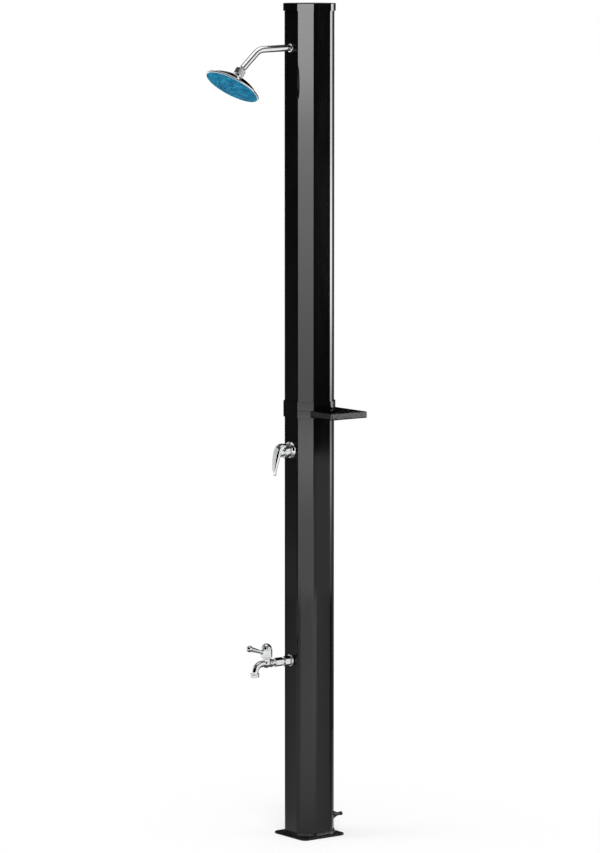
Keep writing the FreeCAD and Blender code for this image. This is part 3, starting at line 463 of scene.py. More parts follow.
def half_outline(points, closed):
    """An outline of (radius, distance) or (radius, distance, rounding) points."""
    bm = bmesh.new()
    verts = [bm.verts.new((point[0], 0.0, point[1])) for point in points]
    for start, end in zip(verts, verts[1:]):
        bm.edges.new((start, end))
    if closed:
        bm.edges.new((verts[-1], verts[0]))
    for rounding in sorted({point[2] for point in points if len(point) > 2}):
        sharp = [vert for vert, point in zip(verts, points) if len(point) > 2 and point[2] == rounding]
        bevelled(bm, sharp, rounding, 5, "VERTICES")
    return bm


def turned(points, steps=64):
    """A turned shape. An outline that stays off the axis closes on itself and leaves a bore."""
    closed = points[0][0] > 0 or points[-1][0] > 0
    bm = half_outline(points, closed)
    bmesh.ops.spin(bm, geom=bm.verts[:] + bm.edges[:], cent=(0, 0, 0), axis=(0, 0, 1), angle=math.tau,
                   steps=steps, use_merge=True)
    return bm


def arc(radius, start, end, count, centre=(0.0, 0.0)):
    """Points of an arc about centre, the angles in degrees from the +Z axis."""
    angles = [math.radians(start + (end - start) * k / count) for k in range(count + 1)]
    return [(centre[0] + radius * math.sin(angle), centre[1] + radius * math.cos(angle))
            for angle in angles]


def rod(radius, start, end, rounding=0.3, steps=48):
    return turned([(0, start), (radius, start, rounding), (radius, end, rounding), (0, end)], steps)


def hexagon(across, start, end, rounding=0.5):
    """A hexagon nut, its corners at the far end cut back."""
    bm = bmesh.new()
    bmesh.ops.create_circle(bm, cap_ends=True, segments=6, radius=across / math.sqrt(3))
    bmesh.ops.translate(bm, verts=bm.verts, vec=(0, 0, start))
    lift(bm, bm.faces[:], end - start)
    tips = [vert for vert in bm.verts if abs(vert.co.z - end) < 0.01]
    bevelled(bm, tips, across * hex_tip, 1, "VERTICES")
    bevelled(bm, bm.edges[:], rounding, 3, clamp=True)
    return bm


def lift(bm, faces, height):
    """Extrude faces along +Z and give back the lifted ones."""
    made = bmesh.ops.extrude_face_region(bm, geom=faces)["geom"]
    bmesh.ops.translate(bm, verts=verts_among(made), vec=(0, 0, height))
    return faces_among(made)


def moved(bm, at=(0, 0, 0), axis=UP):
    """Stand a shape on the point at, along axis."""
    leaned = UP.rotation_difference(Vector(axis)).to_matrix().to_4x4()
    bmesh.ops.transform(bm, matrix=Matrix.Translation(at) @ leaned, verts=bm.verts)
    return bm


def together(*shapes):
    """All shapes in one mesh."""
    whole = shapes[0]
    for shape in shapes[1:]:
        carried = bpy.data.meshes.new("carried")
        shape.to_mesh(carried)
        shape.free()
        whole.from_mesh(carried)
        bpy.data.meshes.remove(carried)
    return whole


def bar_along(points, bend, radius):
    """A round bar along points, its ring of edges pushed along the runs and spun round the corners."""
    bm = bmesh.new()
    ahead = (points[1] - points[0]).normalized()
    bmesh.ops.create_circle(bm, segments=bar_sides, radius=radius)
    moved(bm, points[0], ahead)
    ring = bm.edges[:]
    bmesh.ops.contextual_create(bm, geom=ring)
    here = points[0]
    for k in range(1, len(points)):
        run = points[k] - here
        turn = 0.0
        if k + 1 < len(points):
            after = (points[k + 1] - points[k]).normalized()
            turn = ahead.angle(after)
            run = run - ahead * bend * math.tan(turn / 2)
        made = bmesh.ops.extrude_edge_only(bm, edges=ring)["geom"]
        bmesh.ops.translate(bm, verts=verts_among(made), vec=run)
        ring = edges_among(made)
        here = here + run
        if turn:
            inwards = (after - ahead * after.dot(ahead)).normalized()
            made = bmesh.ops.spin(bm, geom=verts_among(made) + ring, cent=here + inwards * bend,
                                  axis=ahead.cross(after).normalized(), angle=turn,
                                  steps=max(2, round(bend_steps * turn)), use_merge=False)["geom_last"]
            ring = edges_among(made)
            here = points[k] + after * bend * math.tan(turn / 2)
            ahead = after
    bmesh.ops.contextual_create(bm, geom=ring)
    return bm


def post_outline(offset, height):
    """The post's outline, moved out by offset, as a flat face."""
    bm = bmesh.new()
    reach = half + offset
    leg = post_chamfer + offset * (2 - math.sqrt(2))
    round_leg = (post_edge_radius + offset) * math.tan(math.pi / 8)
    bmesh.ops.create_circle(bm, cap_ends=True, segments=4, radius=reach * math.sqrt(2))
    bmesh.ops.rotate(bm, verts=bm.verts, matrix=Matrix.Rotation(math.pi / 4, 3, "Z"))
    bevelled(bm, bm.verts[:], leg, 1, "VERTICES")
    bevelled(bm, bm.verts[:], round_leg, 12, "VERTICES")
    bmesh.ops.translate(bm, verts=bm.verts, vec=(0, 0, height))
    return bm


def edges_at(bm, height):
    return [edge for edge in bm.edges if all(abs(vert.co.z - height) < slack for vert in edge.verts)]


def faces_at(bm, height):
    return [face for face in bm.faces if all(abs(vert.co.z - height) < slack for vert in face.verts)]


def post_sleeve(outer, wall, bottom, top, rounding=0.0):
    """A length of tube of the post's section, open at both ends, its outer edges rounded."""
    bm = post_outline(outer, bottom)
    lift(bm, bm.faces[:], top - bottom)
    caps = faces_at(bm, bottom) + faces_at(bm, top)
    rims = [edge for cap in caps for edge in cap.edges]
    for cap in caps:
        bmesh.ops.inset_region(bm, faces=[cap], thickness=wall)
    bmesh.ops.bridge_loops(bm, edges=[edge for cap in caps for edge in cap.edges])
    bmesh.ops.delete(bm, geom=caps, context="FACES_ONLY")
    if rounding:
        bevelled(bm, rims, rounding, 4)
    return bm


def rounded_plate(low, high, corner, bottom, top, holes=(), hole_radius=0.0):
    """A plate with rounded corners and round holes through it."""
    bm = bmesh.new()
    bmesh.ops.create_grid(bm, x_segments=1, y_segments=1, size=0.5)
    bmesh.ops.scale(bm, verts=bm.verts, vec=(high[0] - low[0], high[1] - low[1], 1.0))
    bmesh.ops.translate(bm, verts=bm.verts, vec=((low[0] + high[0]) / 2, (low[1] + high[1]) / 2, bottom))
    bevelled(bm, bm.verts[:], corner, 10, "VERTICES")
    if holes:
        bmesh.ops.delete(bm, geom=bm.faces[:], context="FACES_ONLY")
        for spot in holes:
            made = bmesh.ops.create_circle(bm, segments=24, radius=hole_radius)["verts"]
            bmesh.ops.translate(bm, verts=made, vec=(spot[0], spot[1], bottom))
        bmesh.ops.triangle_fill(bm, edges=bm.edges[:], use_beauty=True, use_dissolve=False)
    lift(bm, bm.faces[:], top - bottom)
    return bm


def finished(name, bm, body, slot, *nodes, sharp=32, levels=0):
    """Make the shape an object in metres, that rides on a body and stands for CAD nodes."""
    bmesh.ops.scale(bm, verts=bm.verts, vec=(mm, mm, mm))
    bmesh.ops.remove_doubles(bm, verts=bm.verts, dist=0.00001)
    bmesh.ops.recalc_face_normals(bm, faces=bm.faces)
    mesh = bpy.data.meshes.new(name)
    bm.to_mesh(mesh)
    bm.free()
    mesh.materials.append(finishes[slot])
    mesh.shade_smooth()
    mesh.set_sharp_from_angle(angle=math.radians(sharp))
    piece = bpy.data.objects.new(name, mesh)
    bpy.context.scene.collection.objects.link(piece)
    if levels:
        smooth = piece.modifiers.new("smooth", "SUBSURF")
        smooth.levels = levels
        smooth.render_levels = levels
    else:
        even = piece.modifiers.new("even", "WEIGHTED_NORMAL")
        even.keep_sharp = True
    if slot == "chrome":
        chrome_pieces.objects.link(piece)
        all_but_chrome.objects.link(piece)
        all_but_chrome.collection_objects[-1].light_linking.link_state = "EXCLUDE"
    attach(piece, body)
    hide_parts(*nodes)
    return piece


# ---- Post, base and cap ----
def post_tubes():
    finished("lower_post", post_sleeve(0, post_wall, base_thickness, joint_height), "post", "gloss_black",
             "lower_tube")
    finished("upper_post", post_sleeve(0, post_wall, joint_height, tube_top), "post", "gloss_black",
             "upper_tube")


def cap():
    """The cap's skirt and its flat top, one shell with a rounded edge."""
    low, high = corners("top_cap")
    bm = post_outline(cap_proud, low.z)
    lift(bm, bm.faces[:], high.z - low.z)
    bevelled(bm, edges_at(bm, high.z), cap_edge_radius, 4)
    bottom = faces_at(bm, low.z)
    bmesh.ops.inset_region(bm, faces=bottom, thickness=cap_proud - sleeve_gap)
    lift(bm, bottom, tube_top - low.z)
    finished("post_cap", bm, "post", "gloss_black", "top_cap")


def collar():
    low, high = corners("joint_collar")
    bm = post_sleeve(collar_proud, collar_proud - sleeve_gap, low.z, high.z, collar_edge_radius)
    finished("post_collar", bm, "post", "gloss_black", "joint_collar")


def clamp_screw_set():
    """Four grub screws with round sockets, on the side away from the dish."""
    low, high = corners("clamp_screws")
    screws = []
    for height in (low.z + clamp_radius, high.z - clamp_radius):
        for side in (-1, 1):
            screw = bmesh.new()
            bmesh.ops.create_circle(screw, cap_ends=True, segments=36, radius=clamp_radius)
            end = lift(screw, screw.faces[:], collar_proud + clamp_proud)[0]
            bevelled(screw, list(end.edges), clamp_edge, 2)
            end = max(screw.faces, key=lambda face: face.calc_center_median().z)
            bmesh.ops.inset_region(screw, faces=[end], thickness=clamp_radius - clamp_edge - clamp_socket)
            lift(screw, [end], -clamp_socket_depth)
            screws.append(moved(screw, Vector((-half, side * clamp_spacing / 2, height)), LEFT))
    finished("clamp_screw_set", together(*screws), "post", "steel", "clamp_screws")


def dish():
    """Band round the post and a tray on its side, with drain holes."""
    low, high = corners("soap_dish")
    rim = high.z - dish_rim_drop
    floor = rim - dish_depth
    band = post_sleeve(collar_proud, collar_proud - sleeve_gap, low.z, high.z, collar_edge_radius)
    middle_x = (half + high.x) / 2
    middle_y = (dish_front + dish_back) / 2
    drains = [(middle_x, middle_y + (k - (drain_count - 1) / 2) * drain_spacing)
              for k in range(drain_count)]
    near = (dish_tail, dish_front)
    far = (high.x, dish_back)
    plate = rounded_plate(near, far, dish_corner_radius, floor, floor + dish_floor, drains, drain_radius)
    wall = rounded_plate(near, far, dish_corner_radius, floor, rim)
    for level in (floor, rim):
        bmesh.ops.inset_region(wall, faces=faces_at(wall, level), thickness=dish_wall)
    inner = [face for level in (floor, rim) for face in faces_at(wall, level) if len(face.verts) > 4]
    bmesh.ops.bridge_loops(wall, edges=[edge for face in inner for edge in face.edges])
    bmesh.ops.delete(wall, geom=inner, context="FACES_ONLY")
    bevelled(wall, edges_at(wall, rim), dish_rim_radius, 3)
    finished("dish_band", band, "post", "gloss_black", "soap_dish")
    tray = finished("soap_tray", together(plate, wall), "post", "gloss_black", "soap_dish")
    tray.data.materials[0] = moulded_black()


def base():
    """Square foot with four bolt holes, and the flared skirt round the post."""
    reach = corners("base_plate")[1].x
    spots = [(x * base_hole_spacing / 2, y * base_hole_spacing / 2) for x in (-1, 1) for y in (-1, 1)]
    plate = rounded_plate((-reach, -reach), (reach, reach), base_corner_radius, 0, base_thickness, spots,
                          base_hole_radius)
    outer_rim = [edge for edge in edges_at(plate, base_thickness)
                 if edge.calc_face_angle(0) > 0.5 and all(v.co.xy.length > reach - 1 for v in edge.verts)
                 and all(min((v.co.xy - Vector(spot)).length for spot in spots) > base_hole_radius + 0.5
                         for v in edge.verts)]
    bevelled(plate, outer_rim, base_edge_radius, 4)
    hole_rims = [edge for edge in edges_at(plate, base_thickness)
                 if any(all(abs((v.co.xy - Vector(spot)).length - base_hole_radius) < 0.1
                            for v in edge.verts) for spot in spots)]
    bevelled(plate, hole_rims, hole_chamfer, 1)
    flare = bmesh.new()
    foot = base_thickness - base_edge_radius
    rings = [(skirt[0][0], foot)] + skirt + [(sleeve_gap, skirt[-1][1]), (sleeve_gap, foot)]
    for out, height in rings:
        flare = together(flare, post_outline(out, height))
    bmesh.ops.delete(flare, geom=flare.faces[:], context="FACES_ONLY")
    flare.edges.ensure_lookup_table()
    count = len(flare.edges) // len(rings)
    loops = [flare.edges[k * count:(k + 1) * count] for k in range(len(rings))]
    for first, second in zip(loops, loops[1:] + loops[:1]):
        bmesh.ops.bridge_loops(flare, edges=first + second)
    finished("base_foot", together(plate, flare), "post", "base_black", "base_plate")


# ---- Shower arm and head ----
def arm():
    root = arm_at + FRONT * gasket
    kink = arm_at + FRONT * arm_straight
    drop = (arm_run - arm_straight) * math.tan(math.radians(arm_droop))
    corner = arm_at + FRONT * arm_run + DOWN * drop
    end = corner + sloped(arm_slope) * arm_leg
    bm = bar_along([root, kink, corner, end], arm_bend, arm_radius)
    finished("shower_arm", bm, "post", "chrome", "arm_tube")
    flange = turned([(arm_radius, gasket), (arm_flange_radius, gasket, 0.5),
                     (arm_flange_radius, gasket + arm_flange_length - 2, 1.0),
                     (arm_flange_radius - 2, gasket + arm_flange_length, 1.0),
                     (arm_radius, gasket + arm_flange_length)], 64)
    finished("arm_rose", moved(flange, arm_at, FRONT), "post", "chrome", "arm_flange")
    neck = moved(turned([(0, 0), (arm_radius, 0, 0.4), (arm_radius, 0.9, 0.4), (ball_neck_radius, 3.5, 0.8),
                         (ball_neck_radius, ball_neck_length), (0, ball_neck_length)], 48),
                 end, sloped(arm_slope))
    globe = bmesh.new()
    bmesh.ops.create_uvsphere(globe, u_segments=48, v_segments=32, radius=ball_radius)
    finished("swivel_joint", together(neck, moved(globe, ball_at)), "post", "chrome", "swivel_ball")


def knurled(bm, radius, low, high):
    """Press the nut's grooves into the verts that lie at radius, between two heights."""
    for vert in bm.verts:
        out = vert.co.xy.length
        if abs(out - radius) < 0.05 and low < vert.co.z < high:
            wave = 0.5 - 0.5 * math.cos(nut_knurls * math.atan2(vert.co.y, vert.co.x))
            vert.co.xy *= 1 - nut_knurl_depth * wave / radius
    return bm


def head_nut():
    levels = [nut_top + 2.6 + (nut_below - nut_top - 3.2) * k / 4 for k in range(5)]
    points = [(nut_mouth, nut_top), (nut_radius - 2, nut_top, 0.6), (nut_radius, nut_top + 2)]
    points += [(nut_radius, level) for level in levels]
    points += [(nut_radius, nut_below), (nut_mouth, nut_below)]
    bm = knurled(turned(points, 144), nut_radius, nut_top + 2.3, nut_below - 0.2)
    finished("swivel_collar", moved(bm, ball_at, head_axis), "swivel_nut", "chrome", "swivel_nut", sharp=40)


def head_shell():
    level = rim_top + rim_height
    neck = [(0, nut_below - 2), (head_neck_radius, nut_below - 2), (head_neck_radius, head_neck_end, 1.2),
            (dome_start_radius, dome_start, 1.0)]
    lip = [(head_radius - 4.0, rim_top - 1.3, 1.2), (head_radius, rim_top + 0.2, 1.2),
           (head_radius, level, 1.0), (face_radius, level), (face_radius, level - 2.5), (0, level - 2.5)]
    swell = [(dome_start_radius + (dome_swell_radius - dome_start_radius) * t,
              dome_start + (dome_swell - dome_start) * t ** 1.7) for t in (0.25, 0.5, 0.75, 1.0)]
    shoulder = [(dome_swell_radius + 9.5, dome_swell + 4.6), (dome_swell_radius + 16.5, dome_swell + 9.6)]
    bm = turned(neck + swell + shoulder + lip, 128)
    finished("head_dome", moved(bm, ball_at, head_axis), "head", "chrome", "head_shell", sharp=40)


def nozzle_places():
    places = [(0.0, 0.0)]
    for k in range(1, nozzle_rings + 1):
        count = nozzle_ring_count * k
        places += [(k * nozzle_ring_step, math.tau * (n + (k % 2) / 2) / count) for n in range(count)]
    return places


def head_face():
    """Clear blue disc, slightly crowned, with shallow grooves between the rings of its nozzles."""
    level = rim_top + rim_height

    def crown(radius):
        return level + face_crown * (1 - (radius / face_radius) ** 2)

    points = [(0, crown(0))]
    for k in range(nozzle_rings + 1):
        land = k * nozzle_ring_step + nozzle_ring_step / 2
        points += [(land - 1.6, crown(land), 0.5), (land - 0.9, crown(land) - 0.5, 0.3),
                   (land + 0.9, crown(land) - 0.5, 0.3), (land + 1.6, crown(land), 0.5)]
    edge = face_radius - face_gap
    points += [(edge, crown(face_radius), 0.4), (edge, level - 2.4), (0, level - 2.4)]
    face = moved(turned(points, 128), ball_at, head_axis)
    finished("spray_face", face, "head", "clear_blue", "head_face")
    tips = []
    for radius, angle in nozzle_places():
        tip = bmesh.new()
        bmesh.ops.create_cone(tip, cap_ends=True, segments=12, radius1=nozzle_radius + 0.5,
                              radius2=nozzle_radius - 0.2, depth=nozzle_proud + 1.2)
        spot = (radius * math.cos(angle), radius * math.sin(angle), crown(radius) + nozzle_proud / 2 - 0.6)
        tips.append(moved(tip, spot))
    finished("spray_nozzles", moved(together(*tips), ball_at, head_axis), "head", "nozzle_rubber",
             "nozzle_mat")


# ---- Mixer ----
def mixer():
    end = gasket + mixer_flange_length
    rose = turned([(mixer_barrel_radius - 2, gasket), (mixer_flange_radius, gasket, 0.5),
                   (mixer_flange_radius, gasket + 2.4, 1.6), (mixer_barrel_radius + 1, end, 0.8),
                   (mixer_barrel_radius - 2, end)], 96)
    finished("mixer_rose", moved(rose, mixer_at, FRONT), "post", "chrome", "mixer_flange")
    barrel = turned([(mixer_dome_radius - 5, end - 3), (mixer_barrel_radius, end - 3),
                     (mixer_barrel_radius, mixer_barrel_end, 0.8),
                     (mixer_dome_radius - 5, mixer_barrel_end)], 96)
    finished("mixer_barrel", moved(barrel, mixer_at, FRONT), "post", "chrome", "mixer_body")
    shell = arc(mixer_dome_radius, 90, mixer_dome_opening, 12, (0, mixer_barrel_end))
    dome = turned([(mixer_dome_radius - 2.5, mixer_barrel_end)] + shell
                  + arc(mixer_dome_radius - 2.5, mixer_dome_opening, 80, 10, (0, mixer_barrel_end)), 96)
    finished("mixer_dome", moved(dome, mixer_at, FRONT), "post", "chrome", "dome_nut")


# The lever's sections from its root to its tip: distance from the post, height from the mixer's
# axis, lean from horizontal in degrees, half its thickness and half its width.
lever_sections = [
    (20.0, 12.0, 4, 5.4, 12.0), (27.0, 12.6, -4, 6.4, 13.0), (35.0, 10.6, -24, 7.2, 13.4),
    (41.4, 4.2, -50, 7.6, 13.4), (44.8, -5.0, -66, 7.4, 13.2), (48.2, -16.0, -73, 6.8, 12.6),
    (51.4, -31.0, -79, 5.6, 10.8), (53.8, -46.0, -85, 4.4, 8.8), (54.6, -57.0, -89, 3.6, 7.2),
    (54.4, -63.6, -92, 2.6, 5.6), (54.3, -65.6, -92, 1.2, 3.2)]


lever_squareness = 0.62       # 1 gives an oval section, less a boxier one


def lever_blade():
    """The blade that hangs from the hub's top: rounded sections, bridged."""
    bm = bmesh.new()
    loops = []
    for distance, rise, lean, thick, wide in lever_sections:
        made = bmesh.ops.create_circle(bm, segments=16, radius=1.0)["verts"]
        for vert in made:
            vert.co.xy = [math.copysign(abs(share) ** lever_squareness, share) for share in vert.co.xy]
        bmesh.ops.scale(bm, verts=made, vec=(wide, thick, 1.0))
        bmesh.ops.rotate(bm, verts=made, matrix=Matrix.Rotation(math.radians(90 - lean), 3, "X"))
        bmesh.ops.translate(bm, verts=made, vec=mixer_at + FRONT * distance + UP * rise)
        loops.append(list({edge for vert in made for edge in vert.link_edges}))
    for first, second in zip(loops, loops[1:]):
        bmesh.ops.bridge_loops(bm, edges=first + second)
    for loop in (loops[0], loops[-1]):
        bmesh.ops.contextual_create(bm, geom=loop)
    return bm


def mixer_handle():
    """The hub over the dome with the boss round its stem, the blade, and the index cap set in it."""
    flat = hub_radius - hub_shoulder
    hub = turned([(hub_hollow, hub_edge), (hub_radius, hub_edge, 0.5), (hub_radius, hub_straight)]
                 + arc(hub_shoulder, 80, 10, 7, (flat, hub_crown - hub_shoulder))
                 + [(boss_radius, hub_crown, 1.2), (boss_radius, boss_end, 2.0), (0, boss_end),
                    (0, hub_hollow)]
                 + arc(hub_hollow, 0, 78, 10)[1:], 96)
    moved(hub, pivots["mixer_lift"], sloped(stem_droop))
    finished("mixer_handle", hub, "mixer_lever", "chrome", "mixer_lever", sharp=50)
    finished("mixer_blade", lever_blade(), "mixer_lever", "chrome", "mixer_lever", sharp=60, levels=3)
    tilt = math.radians(index_tilt)
    out = FRONT * math.cos(tilt) + UP * math.sin(tilt)
    plug = moved(rod(index_radius, 0, index_cover, 0.25, 32),
                 mixer_at + FRONT * index_distance + UP * index_rise, out)
    finished("mixer_index", plug, "mixer_lever", "index_grey", "index_cap")


# ---- Bib tap ----
def tap():
    """The tap's body, open inside where its ball turns, with its nuts and the end of its spout."""
    nut_end = gasket + backnut_length
    ring_end = barrel_ring_start + barrel_ring_length
    room = valve_centre - valve_ball_room
    barrel = turned([(0, nut_end - 4), (barrel_radius, nut_end - 4), (barrel_radius, barrel_hex_end, 0.5),
                     (barrel_waist_radius, barrel_hex_end + 4, 1.0),
                     (barrel_waist_radius, barrel_ring_start - 2, 0.8),
                     (barrel_ring_radius, barrel_ring_start, 0.8), (barrel_ring_radius, ring_end, 0.8),
                     (valve_neck_radius, ring_end + 1, 0.5), (valve_neck_radius, room), (0, room)], 64)
    grip = hexagon(barrel_hex_across, barrel_hex_start, barrel_hex_end)
    body = moved(together(barrel, grip), tap_at, FRONT)
    bowl = bmesh.new()
    bmesh.ops.create_uvsphere(bowl, u_segments=48, v_segments=32, radius=valve_radius)
    boss = turned([(valve_bore, valve_bore), (valve_boss_radius, valve_bore),
                   (valve_boss_radius, boss_height, 0.8), (valve_bore, boss_height)], 48)
    moved(boss, valve_at, UP)
    corner = valve_at + FRONT * (spout_run + spout_bend)
    end = corner + DOWN * spout_drop
    spout = bar_along([valve_at + FRONT * valve_ball_room, corner, end], spout_bend, spout_radius)
    finished("bib_tap", together(body, moved(bowl, valve_at), boss, spout), "post", "chrome", "tap_body")
    flange = moved(turned([(0, gasket), (backnut_flange_radius, gasket, 0.6),
                           (backnut_flange_radius, gasket + backnut_flange_length, 1.2),
                           (0, gasket + backnut_flange_length)], 64), tap_at, FRONT)
    nut = moved(hexagon(backnut_across, gasket, nut_end, 0.7), tap_at, FRONT)
    finished("tap_locknut", together(flange, nut), "post", "chrome", "tap_backnut")
    bonnet = moved(hexagon(bonnet_across, boss_height, boss_height + bonnet_height), valve_at, UP)
    finished("tap_gland_nut", bonnet, "post", "chrome", "tap_bonnet")
    top = spout_drop - nozzle_cap_length + nozzle_cap_wall
    low = spout_drop + nozzle_cap_wall
    outlet = turned([(spout_bore, top), (nozzle_cap_radius, top, 0.9), (nozzle_cap_radius, top + 3.2, 0.3),
                     (nozzle_cap_radius - 0.6, top + 3.8, 0.3), (nozzle_cap_radius, top + 4.4, 0.3),
                     (nozzle_cap_radius, low, 0.9), (spout_bore, low, 0.5)], 64)
    finished("spout_outlet", moved(outlet, corner, DOWN), "post", "chrome", "spout_nozzle")


def tap_lever():
    """Hub on the spindle, the lever that rises forwards to a bulb, and the fluted knob on top."""
    hub = moved(turned([(handle_radius - 3, handle_bottom), (handle_radius, handle_bottom, 0.8),
                        (handle_radius, handle_top, 0.5), (5, handle_top), (5, handle_bottom + 6),
                        (handle_radius - 3, handle_bottom + 6)], 64), valve_at, UP)
    rise = math.radians(lever_rise)
    ahead = FRONT * math.cos(rise) + UP * math.sin(rise)
    bulb = arc(lever_bulb_radius, 130, 0, 14, (0, lever_bulb_centre))
    grip = turned([(0, handle_radius - 5), (lever_root_radius + 2, handle_radius - 5),
                   (lever_root_radius, handle_radius + 3), (lever_root_radius, lever_flare_start)]
                  + bulb[:-1] + [(0, lever_bulb_centre + lever_bulb_radius)], 48)
    root = valve_at + UP * lever_root_height
    finished("tap_lever", together(hub, moved(grip, root, ahead)), "tap_handle", "chrome", "tap_handle")
    radius = handle_radius - knob_inset
    band = handle_top + knob_height - radius
    side = [(radius, handle_top + (band - handle_top) * t) for t in (0.0, 0.5, 1.0)]
    crown = arc(radius, 90, 0, 16, (0, band))[1:-1]
    knob = turned([(0, handle_top)] + side + crown + [(0, band + radius)], 144)
    for vert in knob.verts:
        lift_off = vert.co.z - handle_top
        if vert.co.xy.length > 4 and lift_off > 0.2:
            wave = max(0.0, math.cos(knob_flutes * math.atan2(vert.co.y, vert.co.x))) ** 3
            fade = max(0.0, 1 - lift_off / knob_height)
            vert.co.xy *= 1 - knob_flute_depth * wave * fade / vert.co.xy.length
    finished("tap_knob", moved(knob, valve_at, UP), "tap_handle", "chrome", "handle_knob", sharp=50)


# ---- Hose inlet ----
def inlet():
    flange_end = gasket + inlet_flange_length
    hex_end = flange_end + inlet_hex_length
    tail = turned([(inlet_bore, gasket), (inlet_flange_radius, gasket, 0.6),
                   (inlet_flange_radius, flange_end, 0.8), (inlet_cone_radius, flange_end),
                   (inlet_cone_radius, inlet_cone_start, 1.2), (inlet_nose_radius, inlet_cone_end, 2.0),
                   (inlet_nose_radius, inlet_nose_end - inlet_tip_length),
                   (inlet_tip_radius, inlet_nose_end - inlet_tip_length, 0.4),
                   (inlet_tip_radius, inlet_nose_end, 0.8), (inlet_bore, inlet_nose_end, 0.4)], 64)
    nut = hexagon(inlet_hex_across, flange_end, hex_end)
    finished("hose_inlet", moved(together(tail, nut), inlet_at, REAR), "post", "fitting_black",
             "inlet_connector")


# ---- Room ----
room_white = 1.0             # what the eye sees behind the post
room_dim = 0.07              # what the polished surfaces see where no panel stands
floor_reach = 6.8
top_height = 4.2
top_reach = 1.9
wall_distance = 4.2
tent_distance = 3.4
rear_distance = 1.5
under_floor = -0.01
rim_azimuth = -143.0         # the rear chamfer mirrors this way
dish_azimuth = 127.0         # roughly to the right, as the camera sees it


def around(azimuth, distance, height=0.0):
    """A point round the post, azimuth measured as the camera's is."""
    turn = math.radians(azimuth)
    return Vector((distance * math.sin(turn), -distance * math.cos(turn), height))


def stage_mesh(name, bm, material):
    mesh = bpy.data.meshes.new(name)
    bm.to_mesh(mesh)
    bm.free()
    mesh.materials.append(material)
    thing = bpy.data.objects.new(name, mesh)
    bpy.context.scene.collection.objects.link(thing)
    return thing


def disc(name, material, radius, height=0.0, sides=96):
    """A round card that lies level."""
    bm = bmesh.new()
    bmesh.ops.create_circle(bm, cap_ends=True, segments=sides, radius=radius)
    bmesh.ops.translate(bm, verts=bm.verts, vec=(0, 0, height))
    return stage_mesh(name, bm, material)


def only_mirrored(thing, pieces=None):
    """A card that shows in polished surfaces and nowhere else, or in those of some pieces alone."""
    thing.visible_camera = False
    thing.visible_diffuse = False
    thing.visible_shadow = False
    if pieces is not None:
        thing.light_linking.receiver_collection = pieces


class Glow:
    """A light-giving material whose strength follows places in the room."""

    def __init__(self, name):
        self.material = bpy.data.materials.new(name)
        self.material.use_nodes = True
        self.nodes = self.material.node_tree.nodes
        self.links = self.material.node_tree.links
        self.nodes.clear()
        self.out = self.nodes.new("ShaderNodeOutputMaterial").inputs["Surface"]
        self.emission = self.nodes.new("ShaderNodeEmission")
        self.place = self.nodes.new("ShaderNodeTexCoord").outputs["Object"]
        self.links.new(self.emission.outputs["Emission"], self.out)

    def along(self, direction):
        """How far a point lies along a direction."""
        dot = self.nodes.new("ShaderNodeVectorMath")
        dot.operation = "DOT_PRODUCT"
        dot.inputs[1].default_value = direction
        self.links.new(self.place, dot.inputs[0])
        return dot.outputs["Value"]

    def out_from(self, centre):
        """How far a point lies from a centre."""
        length = self.nodes.new("ShaderNodeVectorMath")
        length.operation = "DISTANCE"
        length.inputs[1].default_value = centre
        self.links.new(self.place, length.inputs[0])
        return length.outputs["Value"]

    def steps(self, source, places):
        """Strength along source, straight between the given (place, strength) pairs."""
        start, end = places[0][0], places[-1][0]
        span = self.nodes.new("ShaderNodeMapRange")
        span.inputs["From Min"].default_value = start
        span.inputs["From Max"].default_value = end
        self.links.new(source, span.inputs["Value"])
        curve = self.nodes.new("ShaderNodeFloatCurve")
        points = curve.mapping.curves[0].points
        tallest = max(strength for place, strength in places)
        for k, (place, strength) in enumerate(places):
            spot = ((place - start) / (end - start), strength / tallest)
            if 0 < k < len(places) - 1:
                points.new(*spot)
            else:
                points[0 if k == 0 else len(points) - 1].location = spot
        curve.mapping.update()
        self.links.new(span.outputs["Result"], curve.inputs["Value"])
        scaled = self.nodes.new("ShaderNodeMath")
        scaled.operation = "MULTIPLY"
        scaled.inputs[1].default_value = tallest
        self.links.new(curve.outputs["Value"], scaled.inputs[0])
        return scaled.outputs["Value"]

    def times(self, first, second):
        product = self.nodes.new("ShaderNodeMath")
        product.operation = "MULTIPLY"
        self.links.new(first, product.inputs[0])
        self.links.new(second, product.inputs[1])
        return product.outputs["Value"]

    def strength(self, source):
        self.links.new(source, self.emission.inputs["Strength"])
        return self.material


def wall_card(name, pieces, start, end, distance, heights, fades=None):
    """A curved wall that glows for some pieces, from one azimuth to another.

    Heights gives (height, strength) pairs. Fades gives (degrees from start, share) pairs, for a glow
    that also changes along the wall."""
    glow = Glow(name)
    strength = glow.steps(glow.along(UP), heights)
    if fades:
        places = [(distance * math.cos(math.radians(degrees)), share) for degrees, share in reversed(fades)]
        strength = glow.times(strength, glow.steps(glow.along(around(start, 1.0)), places))
    bm = bmesh.new()
    foot = bm.verts.new(around(start, distance))
    head = bm.verts.new(around(start, distance, heights[-1][0]))
    edge = bm.edges.new((foot, head))
    bmesh.ops.spin(bm, geom=[foot, head, edge], cent=(0, 0, 0), axis=(0, 0, 1),
                   angle=math.radians(end - start), steps=24, use_merge=False)
    wall = stage_mesh(name, bm, glow.strength(strength))
    only_mirrored(wall, pieces)
    return wall


